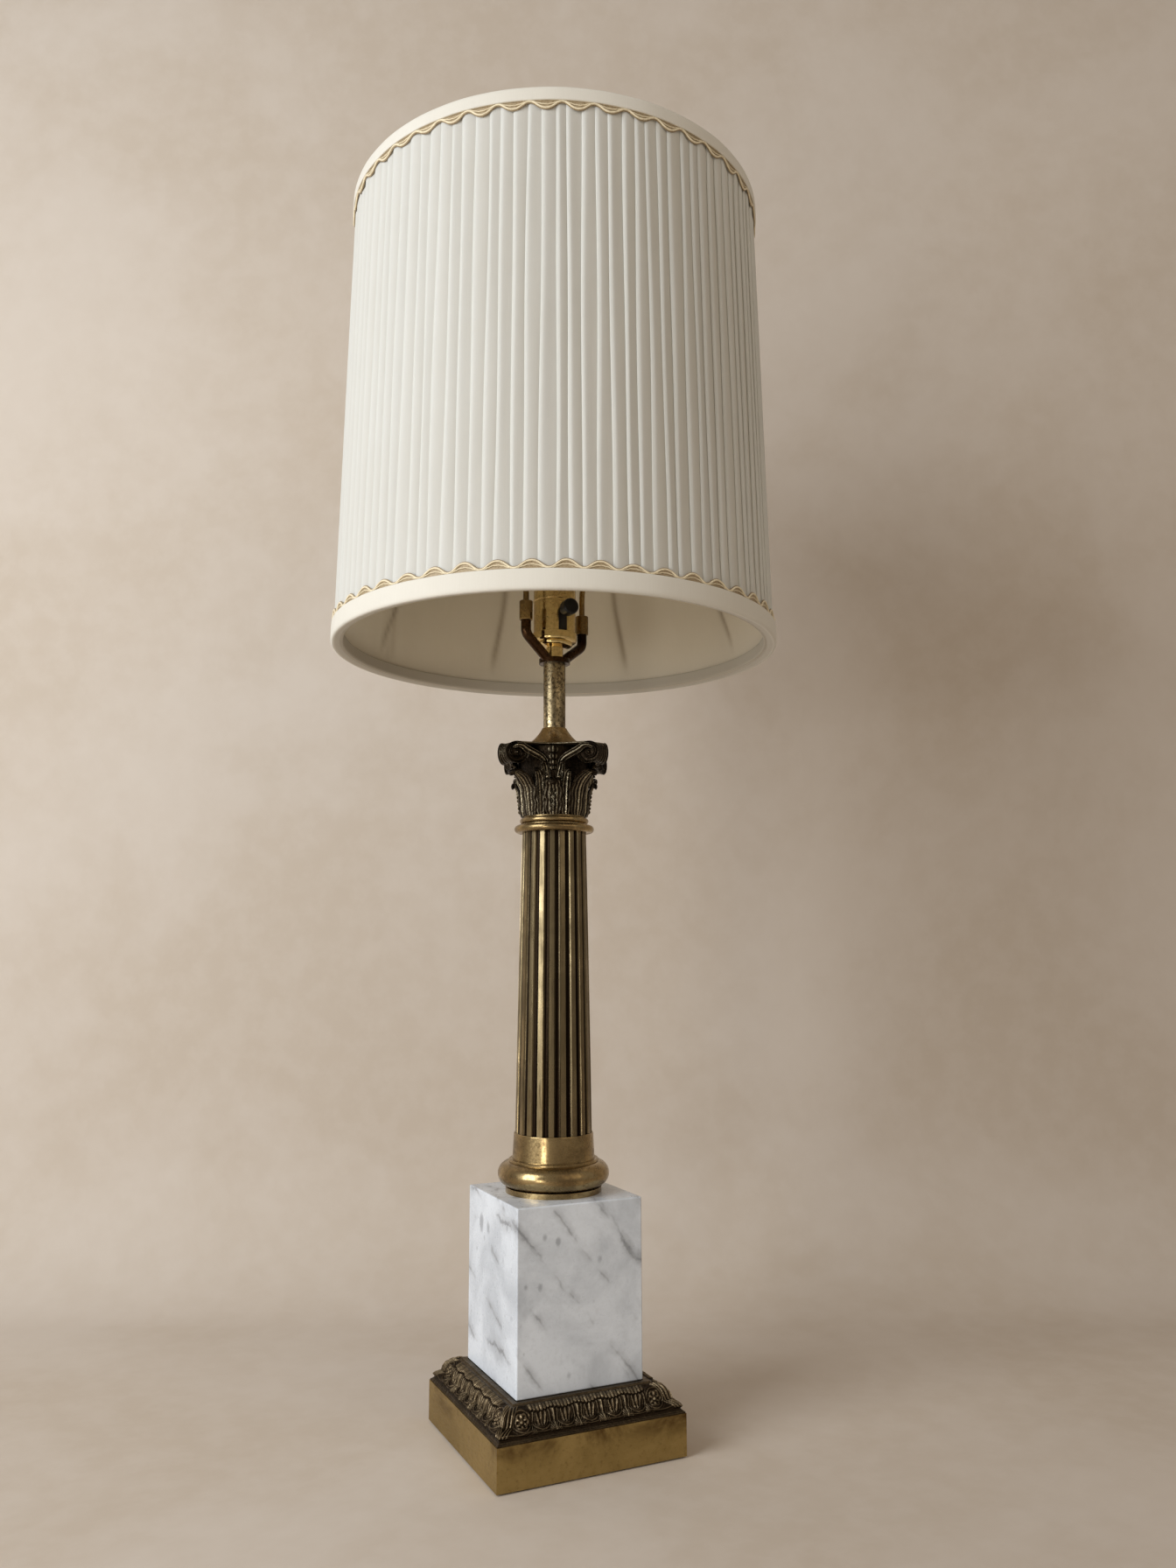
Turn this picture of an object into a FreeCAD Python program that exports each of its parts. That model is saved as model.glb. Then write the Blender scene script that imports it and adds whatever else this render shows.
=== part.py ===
import FreeCAD, Part
import math
import os

# Column table lamp, in millimetres. +Z is up, the origin is the centre of the underside, and the
# base's four sides face along X and Y. Sizes that can be set by themselves come first.

# Clearances
FACE_GAP = 0.3            # between soft or separate pieces that lie side by side
RUNNING_GAP = 0.05        # radial, a turning shaft in its hole
ROD_GAP = 0.35            # radial, the rod in the holes it passes through
CLOTH_GAP = 0.2           # between cloth and the wires inside the shade

# Base
PAD_THICK = 1.2
PAD_INSET = 2.0
PLINTH_SIDE = 146.0
PLINTH_HEIGHT = 29.1
PLINTH_WALL = 2.0
MOULDING_HEIGHT = 19.2
MOULDING_SETBACK = 0.6    # moulding's foot behind the plinth's side
MOULDING_STRIP = 3.6      # flat strip that shows round the marble
MOULDING_WALL = 7.0
LEAF_RELIEF = 1.2         # how far the carved leaves stand out
LEAF_RADIUS = 6.4
LEAF_PITCH = 18.5
LEAF_COUNT = 5
CORNER_LEAF_RADIUS = 8.5
MARBLE_SIDE = 100.0
MARBLE_HEIGHT = 129.4
MARBLE_EASE = 1.2         # radius of the eased edges

# Column
FOOT_PLATE_RADIUS = 36.7
FOOT_PLATE_HEIGHT = 4.6
FOOT_TORUS_RADIUS = 9.0
FOOT_OUTER_RADIUS = 42.6
FOOT_STEP_RADIUS = 34.4
FOOT_STEP_HEIGHT = 1.8
FOOT_WALL = 4.0
COLLAR_RADIUS = 31.5
COLLAR_HEIGHT = 19.3
SHAFT_BOTTOM_RADIUS = 29.75
SHAFT_TOP_RADIUS = 25.29
SHAFT_HEIGHT = 249.5
SHAFT_SWELL = 0.24        # how far the middle bulges past a straight taper
SHAFT_WALL = 3.0
FLUTE_COUNT = 20
FLUTE_SHARE = 0.55        # part of each pitch that is hollowed
FLUTE_DEPTH = 1.7
ASTRAGAL_RADIUS = 31.6
ASTRAGAL_BEAD = 3.0       # radius of the large bead
ASTRAGAL_TOP_RADIUS = 27.3
ASTRAGAL_HEIGHT = 12.8

# Capital
CAPITAL_HEIGHT = 55.4
CAPITAL_YAW = -25.3       # degrees, the capital is turned on the square base
CAPITAL_WALL = 6.0
BELL_BOTTOM_RADIUS = 24.5
BELL_TOP_RADIUS = 31.0
ABACUS_THICK = 1.6
ABACUS_MID_RADIUS = 31.0  # axis to the middle of a hollow side
SCROLL_RADIUS = 8.65
SCROLL_TIP_RADIUS = 55.6  # axis to the flat outer end of a corner scroll
SCROLL_TIP_WIDTH = 8.4
SCROLL_WEDGE = 25.0       # degrees, each scroll face against the diagonal
SCROLL_DROP = 0.1         # top of the scrolls below the abacus top
SCROLL_GROOVE = 1.1
STEM_WIRE = 2.3           # radius of the stems that rise to the scrolls
CORNER_LEAF_REACH = 47.0
CORNER_LEAF_WIDTH = 16.0
CORNER_LEAF_TOP = 29.8    # height of the underside of the tip
FACE_LEAF_REACH = 34.5
FACE_LEAF_WIDTH = 13.5
FACE_LEAF_TOP = 22.3
LEAF_THICK = 1.6
LEAF_TIP = 2.9            # radius of the curled tip
LEAF_RIB = 0.9            # half width of the middle rib, and how far it stands out
BUD_RADIUS = 4.0
BUD_COUNT = 4
BUD_SHRINK = 0.8          # each bud against the one above

# Neck above the capital
VASE_CAP_RADIUS = 25.0
VASE_CAP_HEIGHT = 16.0
STEM_RADIUS = 8.9
STEM_WALL = 1.0
STEM_LENGTH = 53.0

# Rod and the parts that clamp the stack
ROD_RADIUS = 4.85
ROD_BORE_RADIUS = 3.3
ROD_END_BELOW_NUT = 4.0
WASHER_RADIUS = 20.0
WASHER_THICK = 2.0
LOCK_WASHER_RADIUS = 8.6
LOCK_WASHER_THICK = 1.6
LOCK_WASHER_SLIT = 1.2
NUT_ACROSS_FLATS = 15.9
NUT_THICK = 4.8

# Cord inlet in the back of the plinth
INLET_BORE_RADIUS = 3.6
INLET_BODY_RADIUS = 5.2
INLET_FLANGE_RADIUS = 7.2
INLET_FLANGE_THICK = 1.5
INLET_BARB_LENGTH = 4.0
INLET_HEIGHT = 15.0

# Harp
HARP_YAW = 21.7           # degrees, the harp's plane from +X
HARP_HEIGHT = 342.9       # saddle seat to the harp's top seat
HARP_WIRE = 2.3
SADDLE_HUB_RADIUS = 12.5
SADDLE_HUB_THICK = 4.0
SADDLE_ARM = 4.0          # radius of the saddle's arms and tongues
SADDLE_LEG_OUT = 32.3     # axis to each leg
SADDLE_ELBOW = 16.0       # hub top to the elbow
SADDLE_TONGUE = 13.5      # length of the tongues inside the ferrules
SADDLE_SHOULDER = 26.5    # hub top to the foot of the tongues
FERRULE_RADIUS = 5.3
FERRULE_HEIGHT = 15.5
FERRULE_LIP = 1.2
HARP_STRAIGHT = 27.0      # straight part of a leg above the ferrule
HARP_BELLY_OUT = 60.0
HARP_BELLY_RISE = 52.0
HARP_SHOULDER_OUT = 56.0
HARP_SHOULDER_DROP = 77.0
HARP_CROWN_OUT = 32.0
HARP_KNEE_BEND = 60.0     # bend radii from the leg up to the crown
HARP_BELLY_BEND = 150.0
HARP_SHOULDER_BEND = 200.0
HARP_CROWN_BEND = 36.0
HARP_BOSS_RADIUS = 7.0
HARP_BOSS_HEIGHT = 6.8
HARP_STUD_RADIUS = 3.0
HARP_STUD_HEAD_RADIUS = 5.0
HARP_STUD_HEAD_THICK = 1.5
HARP_STUD_RISE = 12.0     # stud above the harp's seat
FINIAL_RADIUS = 7.5
FINIAL_HEIGHT = 26.0

# Socket
NECK_RADIUS = 6.8
NECK_LENGTH = 9.7
SOCKET_CAP_RADIUS = 18.0
SOCKET_CAP_HEIGHT = 21.0
SOCKET_CAP_WALL = 0.85
SHELL_RADIUS = 17.0
SHELL_WALL = 0.6
SHELL_TOP = 80.0          # top of the shell above the saddle's hub
SHELL_BEAD_HEIGHT = 47.6  # bead above the saddle's hub
SHELL_BEAD = 0.6
LINER_WALL = 0.5
SOCKET_BODY_TOP = 46.5    # top of the switch housing above the saddle's hub
SET_SCREW_RADIUS = 1.6
SET_SCREW_LENGTH = 4.5
SET_SCREW_ANGLE = 154.7   # degrees from +X
SET_SCREW_HEIGHT = 4.5
TERMINAL_RADIUS = 3.0
TERMINAL_THICK = 1.4
TERMINAL_DEPTH = 6.0
SWITCH_HEIGHT = 36.4      # switch axis above the saddle's hub
SWITCH_SHAFT_RADIUS = 1.9
SWITCH_SHAFT_INNER = 4.0  # lamp axis to the shaft's inner end
KNOB_NECK_RADIUS = 3.4
KNOB_NECK_LENGTH = 6.0
KNOB_RADIUS = 6.5
KNOB_LENGTH = 10.0
KNOB_STANDOFF = 0.8       # knob's neck outside the shell

# Bulb and its thread
THREAD_RADIUS = 12.6      # mean radius of the bulb's thread
THREAD_DEPTH = 0.4        # crest above the mean
THREAD_PITCH = 3.6
THREAD_COUNT = 6
THREAD_GAP = 0.4
THREAD_WALL = 0.5
SCREW_SHELL_LEAD = 3.0    # plain part under the thread
CONTACT_RADIUS = 4.0
CONTACT_HEIGHT = 3.0
BUTTON_HEIGHT = 1.0       # solder button under the bulb
BUTTON_DOME = 0.25
BULB_RADIUS = 30.0
BULB_LENGTH = 84.0        # glass above its base
BULB_NECK_RADIUS = 11.4
BULB_GLASS = 0.8
BULB_NECK_IN = 5.0        # glass inside the base

# Shade
SHADE_HEIGHT = 373.2
SHADE_BOTTOM_RADIUS = 175.8
SHADE_TAPER = 9.5         # how much smaller the top radius is
SHADE_DROP = 40.1         # harp's seat below the shade's top edge
PLEAT_COUNT = 108
PLEAT_DEPTH = 1.6
PLEAT_FOLD = 0.16         # part of each pitch taken by the steep side of a fold
PLEAT_WANDER = 0.12       # unevenness of the folds, in pitches
COVER_THICK = 0.8
LINING_THICK = 0.8
RING_WIRE = 1.6
RIB_WIRE = 1.3
RIB_COUNT = 9
RIB_START = 44.7          # degrees from +X
BAND_THICK = 1.0
BAND_GAP = 1.2            # fold crests to the inside of the binding
BOTTOM_BAND_HEIGHT = 14.9
TOP_BAND_HEIGHT = 11.0
BAND_INNER_SHARE = 0.75   # inner leg of a binding against its outer leg
GIMP_THICK = 0.8
GIMP_RISE = 4.8
GIMP_TUCK = 2.0           # gimp behind the binding's edge
GIMP_SCALLOP = 12.8       # radius of the hollows between two crests
BOTTOM_GIMP_COUNT = 47
TOP_GIMP_COUNT = 45
HUB_RADIUS = 14.0
HUB_THICK = 2.0
HUB_HOLE_GAP = 0.4
ARM_WIRE = 1.8
ARM_COUNT = 3
ARM_BEND = 8.0
ARM_TOP_BEND = 3.0
ARM_INSET = 1.0           # arm inside the binding

# Heights of the stack, from the table up
PLINTH_Z = PAD_THICK
MOULDING_Z = PLINTH_Z + PLINTH_HEIGHT
MARBLE_Z = MOULDING_Z + MOULDING_HEIGHT
FOOT_Z = MARBLE_Z + MARBLE_HEIGHT
SHAFT_Z = FOOT_Z + FOOT_PLATE_HEIGHT + 2 * FOOT_TORUS_RADIUS + FOOT_STEP_HEIGHT
ASTRAGAL_Z = SHAFT_Z + SHAFT_HEIGHT
CAPITAL_Z = ASTRAGAL_Z + ASTRAGAL_HEIGHT
VASE_CAP_Z = CAPITAL_Z + CAPITAL_HEIGHT
STEM_Z = VASE_CAP_Z + VASE_CAP_HEIGHT
SADDLE_Z = STEM_Z + STEM_LENGTH
SOCKET_Z = SADDLE_Z + SADDLE_HUB_THICK
SHOULDER_Z = SOCKET_Z + SADDLE_SHOULDER
FERRULE_TOP_Z = SHOULDER_Z + FERRULE_HEIGHT
SEAT_Z = SADDLE_Z + HARP_HEIGHT
CROWN_Z = SEAT_Z - HARP_BOSS_HEIGHT + HARP_WIRE
SHADE_TOP_Z = SEAT_Z + SHADE_DROP
SHADE_BOTTOM_Z = SHADE_TOP_Z - SHADE_HEIGHT
SWITCH_Z = SOCKET_Z + SWITCH_HEIGHT
BODY_TOP_Z = SOCKET_Z + SOCKET_BODY_TOP
THREAD_Z = BODY_TOP_Z + SCREW_SHELL_LEAD
THREAD_TOP_Z = THREAD_Z + THREAD_COUNT * THREAD_PITCH

# Sizes that follow from those above
SHADE_TOP_RADIUS = SHADE_BOTTOM_RADIUS - SHADE_TAPER
ROD_HOLE = ROD_RADIUS + ROD_GAP
LINER_RADIUS = SHELL_RADIUS - SHELL_WALL - FACE_GAP
BODY_RADIUS = LINER_RADIUS - LINER_WALL - FACE_GAP
FERRULE_BORE = SADDLE_ARM + FACE_GAP
LEG_BORE = HARP_WIRE + FACE_GAP
FRAME_INSET = PLEAT_DEPTH + COVER_THICK + CLOTH_GAP + RING_WIRE
LINING_INSET = FRAME_INSET + RING_WIRE + CLOTH_GAP
BAND_INNER_INSET = LINING_INSET + LINING_THICK + FACE_GAP
RING_INSET_Z = BAND_THICK + FACE_GAP + RING_WIRE
BOTTOM_RING_Z = SHADE_BOTTOM_Z + RING_INSET_Z
TOP_RING_Z = SHADE_TOP_Z - RING_INSET_Z
KNOB_START = SHELL_RADIUS + KNOB_STANDOFF

ORIGIN = FreeCAD.Vector(0, 0, 0)
ALONG_X = FreeCAD.Vector(1, 0, 0)
ALONG_Y = FreeCAD.Vector(0, 1, 0)
UP = FreeCAD.Vector(0, 0, 1)


# ---------------------------------------------------------------- shared shapes

def at(radius, height, angle=0.0, aside=0.0):
    """A point at a radius and height, aside from the radial line at that angle."""
    turn = math.radians(angle)
    x = radius * math.cos(turn) - aside * math.sin(turn)
    y = radius * math.sin(turn) + aside * math.cos(turn)
    return FreeCAD.Vector(x, y, height)


def turned(shape, angle):
    copy = shape.copy()
    copy.rotate(ORIGIN, UP, angle)
    return copy


def around(shape, count, start=0.0):
    return [turned(shape, start + number * 360.0 / count) for number in range(count)]


def outline(start, *steps):
    """A closed wire in the plane of radius and height.

    A step is an end point, or a pair: a point on an arc, and the arc's end.
    """
    edges = []
    here = start
    for step in steps + (start,):
        if isinstance(step[0], tuple):
            middle, end = step
            edges.append(Part.Arc(at(*here), at(*middle), at(*end)).toShape())
        else:
            end = step
            edges.append(Part.LineSegment(at(*here), at(*end)).toShape())
        here = end
    return Part.Wire(edges)


def dome(radius, foot, rise):
    """A round step up to the axis, on a sphere that is centred on it."""
    ball = (radius ** 2 + rise ** 2) / (2 * rise)
    middle = radius / 2
    height = foot + rise - ball + math.sqrt(ball ** 2 - middle ** 2)
    return ((middle, height), (0, foot + rise))


def spin(base_z, start, *steps):
    """A solid of revolution about the lamp's axis, its outline measured from base_z."""
    solid = Part.Face(outline(start, *steps)).revolve(ORIGIN, UP, 360)
    solid.translate(UP * base_z)
    return solid


def cylinder(radius, bottom, top):
    return Part.makeCylinder(radius, top - bottom, UP * bottom)


def tube(outer, inner, bottom, top):
    return cylinder(outer, bottom, top).cut(cylinder(inner, bottom, top))


def block(half_x, half_y, bottom, top):
    return Part.makeBox(2 * half_x, 2 * half_y, top - bottom, FreeCAD.Vector(-half_x, -half_y, bottom))


def bar(start, end, radius):
    return Part.makeCylinder(radius, start.distanceToPoint(end), start, end - start)


def bent_path(points, bends):
    """Straight runs joined by tangent arcs, one bend radius for each inner point."""
    edges = []
    here = points[0]
    for before, corner, after, bend in zip(points, points[1:], points[2:], bends):
        back = (before - corner).normalize()
        ahead = (after - corner).normalize()
        half = back.getAngle(ahead) / 2
        run = bend / math.tan(half)
        start = corner + back * run
        end = corner + ahead * run
        middle = corner + (back + ahead).normalize() * (bend / math.sin(half) - bend)
        edges.append(Part.LineSegment(here, start).toShape())
        edges.append(Part.Arc(start, middle, end).toShape())
        here = end
    edges.append(Part.LineSegment(here, points[-1]).toShape())
    return Part.Wire(edges)


def pipe(path, radius):
    first = path.Edges[0]
    start = first.valueAt(first.FirstParameter)
    ring = Part.makeCircle(radius, start, first.tangentAt(first.FirstParameter))
    return path.makePipeShell([Part.Wire([ring])], True, False)


def lying(shape, height):
    """Turn a shape made along +Z so that it points along -Y at a height."""
    copy = shape.copy()
    copy.rotate(ORIGIN, ALONG_X, 90)
    copy.translate(UP * height)
    return copy


# ---------------------------------------------------------------- base

def felt_pad():
    half = PLINTH_SIDE / 2 - PAD_INSET
    return block(half, half, 0, PAD_THICK)


def inlet_hole(radius):
    wall = PLINTH_SIDE / 2
    start = FreeCAD.Vector(0, wall - 2 * PLINTH_WALL, INLET_HEIGHT)
    end = FreeCAD.Vector(0, wall + PLINTH_WALL, INLET_HEIGHT)
    return bar(start, end, radius)


def base_plinth():
    half = PLINTH_SIDE / 2
    outer = block(half, half, PLINTH_Z, MOULDING_Z)
    inner = block(half - PLINTH_WALL, half - PLINTH_WALL, PLINTH_Z, MOULDING_Z - PLINTH_WALL)
    rod_hole = cylinder(ROD_HOLE, PLINTH_Z, MOULDING_Z)
    return outer.cut([inner, rod_hole, inlet_hole(INLET_BODY_RADIUS + RUNNING_GAP)])


def moulding_profile(relief):
    """One side's outline, with the convex leaf band standing out by the relief."""
    top = MARBLE_SIDE / 2 + MOULDING_STRIP
    span = PLINTH_SIDE / 2 - MOULDING_SETBACK - top

    def spot(across, up, out=0.0):
        return (top + across * span + out, up * MOULDING_HEIGHT + out)

    inner = MARBLE_SIDE / 2 - MOULDING_WALL
    return outline(
        (inner, 0), spot(1, 0), spot(1, 0.05),
        (spot(0.93, 0.09), spot(0.89, 0.16)),
        (spot(0.835, 0.28), spot(0.69, 0.365)),
        (spot(0.61, 0.40), spot(0.575, 0.47)),
        (spot(0.463, 0.76, relief), spot(0.18, 0.917)),
        spot(0.053, 0.94), spot(0, 1), (inner, MOULDING_HEIGHT))


def moulding_side(relief):
    """One straight side along Y, facing +X, mitred at both ends."""
    half = PLINTH_SIDE / 2
    side = Part.Face(moulding_profile(relief)).extrude(ALONG_Y * PLINTH_SIDE)
    side.translate(ALONG_Y * -half)
    corners = [ORIGIN, FreeCAD.Vector(half, half, 0), FreeCAD.Vector(half, -half, 0), ORIGIN]
    wedge = Part.Face(Part.makePolygon(corners)).extrude(UP * MOULDING_HEIGHT * 2)
    return side.common(wedge)


def leaf_prisms():
    """Round-bottomed leaf outlines seen from the side, as prisms along X."""
    half = PLINTH_SIDE / 2
    middle = MOULDING_HEIGHT / 2
    prisms = []
    for number in range(LEAF_COUNT):
        y = (number - (LEAF_COUNT - 1) / 2) * LEAF_PITCH
        seat = FreeCAD.Vector(0, y, middle + LEAF_RADIUS / 2)
        prisms.append(Part.makeCylinder(LEAF_RADIUS, half, seat, ALONG_X))
    for side in (-1, 1):
        y = side * (MARBLE_SIDE / 2 + LEAF_RADIUS)
        prisms.append(Part.makeCylinder(CORNER_LEAF_RADIUS, half, FreeCAD.Vector(0, y, middle), ALONG_X))
    return prisms


def base_moulding():
    plain = moulding_side(0)
    raised = moulding_side(LEAF_RELIEF)
    leaves = raised.common(Part.makeCompound(leaf_prisms()))
    side = plain.fuse(leaves.Solids)
    sides = around(side, 4)
    frame = sides[0].fuse(sides[1:]).removeSplitter()
    frame.translate(UP * MOULDING_Z)
    return frame


def marble_block():
    half = MARBLE_SIDE / 2
    stone = block(half, half, MARBLE_Z, FOOT_Z)
    eased = stone.makeFillet(MARBLE_EASE, stone.Edges)
    return eased.cut(cylinder(ROD_HOLE, MARBLE_Z, FOOT_Z))


def cord_bushing():
    """Flanged inlet through the plinth's back wall, made along +Z from the outer face."""
    wall = PLINTH_SIDE / 2
    inner_end = -PLINTH_WALL - INLET_BARB_LENGTH
    barb = (INLET_BODY_RADIUS + INLET_FLANGE_RADIUS) / 2
    bushing = spin(
        0, (INLET_BORE_RADIUS, INLET_FLANGE_THICK), (INLET_BORE_RADIUS, inner_end),
        (INLET_BODY_RADIUS - 0.6, inner_end), (barb, -PLINTH_WALL - FACE_GAP),
        (INLET_BODY_RADIUS, -PLINTH_WALL - FACE_GAP), (INLET_BODY_RADIUS, 0),
        (INLET_FLANGE_RADIUS, 0), (INLET_FLANGE_RADIUS, INLET_FLANGE_THICK / 2),
        ((INLET_FLANGE_RADIUS - 0.25, INLET_FLANGE_THICK - 0.25),
         (INLET_FLANGE_RADIUS - INLET_FLANGE_THICK / 2, INLET_FLANGE_THICK)))
    bushing.rotate(ORIGIN, ALONG_X, -90)
    bushing.translate(FreeCAD.Vector(0, wall, INLET_HEIGHT))
    return bushing


# ---------------------------------------------------------------- rod and fasteners

def clamp_levels():
    """Undersides of the washer, the lock washer and the nut, below the plinth's top plate."""
    washer = MOULDING_Z - PLINTH_WALL - WASHER_THICK
    lock = washer - LOCK_WASHER_THICK
    return washer, lock, lock - NUT_THICK


def threaded_rod():
    bottom = clamp_levels()[2] - ROD_END_BELOW_NUT
    return tube(ROD_RADIUS, ROD_BORE_RADIUS, bottom, SOCKET_Z + NECK_LENGTH - SOCKET_CAP_WALL)


def base_washer():
    bottom = clamp_levels()[0]
    return tube(WASHER_RADIUS, ROD_HOLE, bottom, bottom + WASHER_THICK)


def lock_washer():
    bottom = clamp_levels()[1]
    ring = tube(LOCK_WASHER_RADIUS, ROD_HOLE, bottom, bottom + LOCK_WASHER_THICK)
    slit = block(LOCK_WASHER_RADIUS, LOCK_WASHER_SLIT / 2, bottom, bottom + LOCK_WASHER_THICK)
    slit.translate(ALONG_X * LOCK_WASHER_RADIUS)
    return ring.cut(slit)


def rod_nut():
    bottom = clamp_levels()[2]
    corner = NUT_ACROSS_FLATS / 2 / math.cos(math.pi / 6)
    corners = [at(corner, bottom, 60.0 * number) for number in range(7)]
    blank = Part.Face(Part.makePolygon(corners)).extrude(UP * NUT_THICK)
    return blank.cut(cylinder(ROD_RADIUS + RUNNING_GAP, bottom, bottom + NUT_THICK))


# ---------------------------------------------------------------- column

def column_foot():
    torus_centre = FOOT_OUTER_RADIUS - FOOT_TORUS_RADIUS
    torus_bottom = FOOT_PLATE_HEIGHT
    torus_top = torus_bottom + 2 * FOOT_TORUS_RADIUS
    height = torus_top + FOOT_STEP_HEIGHT
    groove = FOOT_STEP_HEIGHT / 3
    shape = spin(
        FOOT_Z, (ROD_HOLE, 0), (FOOT_PLATE_RADIUS, 0),
        (FOOT_PLATE_RADIUS, torus_bottom - groove),
        (torus_centre + groove, torus_bottom),
        (torus_centre, torus_bottom),
        ((FOOT_OUTER_RADIUS, torus_bottom + FOOT_TORUS_RADIUS), (torus_centre, torus_top)),
        (FOOT_STEP_RADIUS, torus_top), (FOOT_STEP_RADIUS, height - groove),
        (FOOT_STEP_RADIUS - groove, height), (ROD_HOLE, height))
    hollow = cylinder(torus_centre - FOOT_WALL, FOOT_Z, FOOT_Z + height - FOOT_WALL)
    return shape.cut(hollow)


def shaft_radius(z):
    share = (z - SHAFT_Z) / SHAFT_HEIGHT
    straight = SHAFT_BOTTOM_RADIUS + share * (SHAFT_TOP_RADIUS - SHAFT_BOTTOM_RADIUS)
    return straight + 4 * SHAFT_SWELL * share * (1 - share)


def foot_collar():
    """Plain sleeve over the foot of the fluted shaft."""
    seat = SHAFT_BOTTOM_RADIUS + RUNNING_GAP
    top = shaft_radius(SHAFT_Z + COLLAR_HEIGHT) + RUNNING_GAP
    lip = COLLAR_RADIUS - SHAFT_BOTTOM_RADIUS
    return spin(
        SHAFT_Z, (seat, 0), (COLLAR_RADIUS, 0),
        (top + lip * 0.6, COLLAR_HEIGHT - lip / 2),
        ((top + lip * 0.45, COLLAR_HEIGHT - lip / 8), (top + lip / 4, COLLAR_HEIGHT)),
        (top, COLLAR_HEIGHT))


def fluted_section(z):
    """Flat fillets on the shaft's circle with round flutes between them."""
    radius = shaft_radius(z)
    depth = FLUTE_DEPTH * radius / SHAFT_BOTTOM_RADIUS
    pitch = 360.0 / FLUTE_COUNT
    half = pitch * FLUTE_SHARE / 2
    edges = []
    for number in range(FLUTE_COUNT):
        flute = number * pitch
        start = at(radius, z, flute - half)
        end = at(radius, z, flute + half)
        edges.append(Part.Arc(start, at(radius - depth, z, flute), end).toShape())
        fillet = Part.Arc(end, at(radius, z, flute + pitch / 2), at(radius, z, flute + pitch - half))
        edges.append(fillet.toShape())
    return Part.Wire(edges)


def column_shaft():
    levels = (SHAFT_Z, SHAFT_Z + SHAFT_HEIGHT / 2, ASTRAGAL_Z)
    outer = Part.makeLoft([fluted_section(z) for z in levels], True, False)
    web = SHAFT_HEIGHT - SHAFT_WALL
    inset = FLUTE_DEPTH + SHAFT_WALL
    hollow = Part.makeCone(SHAFT_BOTTOM_RADIUS - inset, SHAFT_TOP_RADIUS - inset, web, UP * SHAFT_Z)
    return outer.cut([hollow, cylinder(ROD_HOLE, SHAFT_Z, ASTRAGAL_Z)])


def astragal_ring():
    """Large bead, a hollow, a smaller ring and a fillet up to the capital."""
    seat = ASTRAGAL_RADIUS - ASTRAGAL_BEAD
    bead_top = 2 * ASTRAGAL_BEAD
    rest = ASTRAGAL_HEIGHT - bead_top
    waist = ASTRAGAL_TOP_RADIUS - rest / 4
    return spin(
        ASTRAGAL_Z, (ROD_HOLE, 0), (seat, 0),
        ((ASTRAGAL_RADIUS, ASTRAGAL_BEAD), (seat, bead_top)),
        (waist, bead_top), (waist, bead_top + rest * 0.15),
        ((ASTRAGAL_TOP_RADIUS, bead_top + rest * 0.5), (waist, bead_top + rest * 0.85)),
        (BELL_BOTTOM_RADIUS + 0.2, bead_top + rest * 0.85),
        (BELL_BOTTOM_RADIUS + 0.2, ASTRAGAL_HEIGHT), (ROD_HOLE, ASTRAGAL_HEIGHT))


# ---------------------------------------------------------------- capital
# The capital is made from height 0 with one face looking along +X, then turned and lifted.

def capital_bell():
    """Flaring bell, hollow from below."""
    height = CAPITAL_HEIGHT - ABACUS_THICK
    swell = (BELL_TOP_RADIUS - BELL_BOTTOM_RADIUS) / 3
    bell = spin(
        0, (ROD_HOLE, 0), (BELL_BOTTOM_RADIUS, 0),
        ((BELL_BOTTOM_RADIUS + swell, height / 2), (BELL_TOP_RADIUS, height)),
        (ROD_HOLE, height))
    hollow = cylinder(BELL_BOTTOM_RADIUS - CAPITAL_WALL, 0, height - CAPITAL_WALL)
    return bell.cut(hollow)


def capital_abacus():
    """Thin slab with four hollow sides and cut corners."""
    bottom = CAPITAL_HEIGHT - ABACUS_THICK
    reach = SCROLL_TIP_RADIUS - SCROLL_RADIUS
    half = SCROLL_TIP_WIDTH / 2 + SCROLL_RADIUS * math.tan(math.radians(SCROLL_WEDGE))
    edges = []
    for number in range(4):
        face = 90.0 * number
        start = at(reach, bottom, face - 45, half)
        end = at(reach, bottom, face + 45, -half)
        edges.append(Part.Arc(start, at(ABACUS_MID_RADIUS, bottom, face), end).toShape())
        edges.append(Part.LineSegment(end, at(reach, bottom, face + 45, half)).toShape())
    slab = Part.Face(Part.Wire(edges)).extrude(UP * ABACUS_THICK)
    return slab.cut(cylinder(ROD_HOLE, bottom, CAPITAL_HEIGHT))


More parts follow.
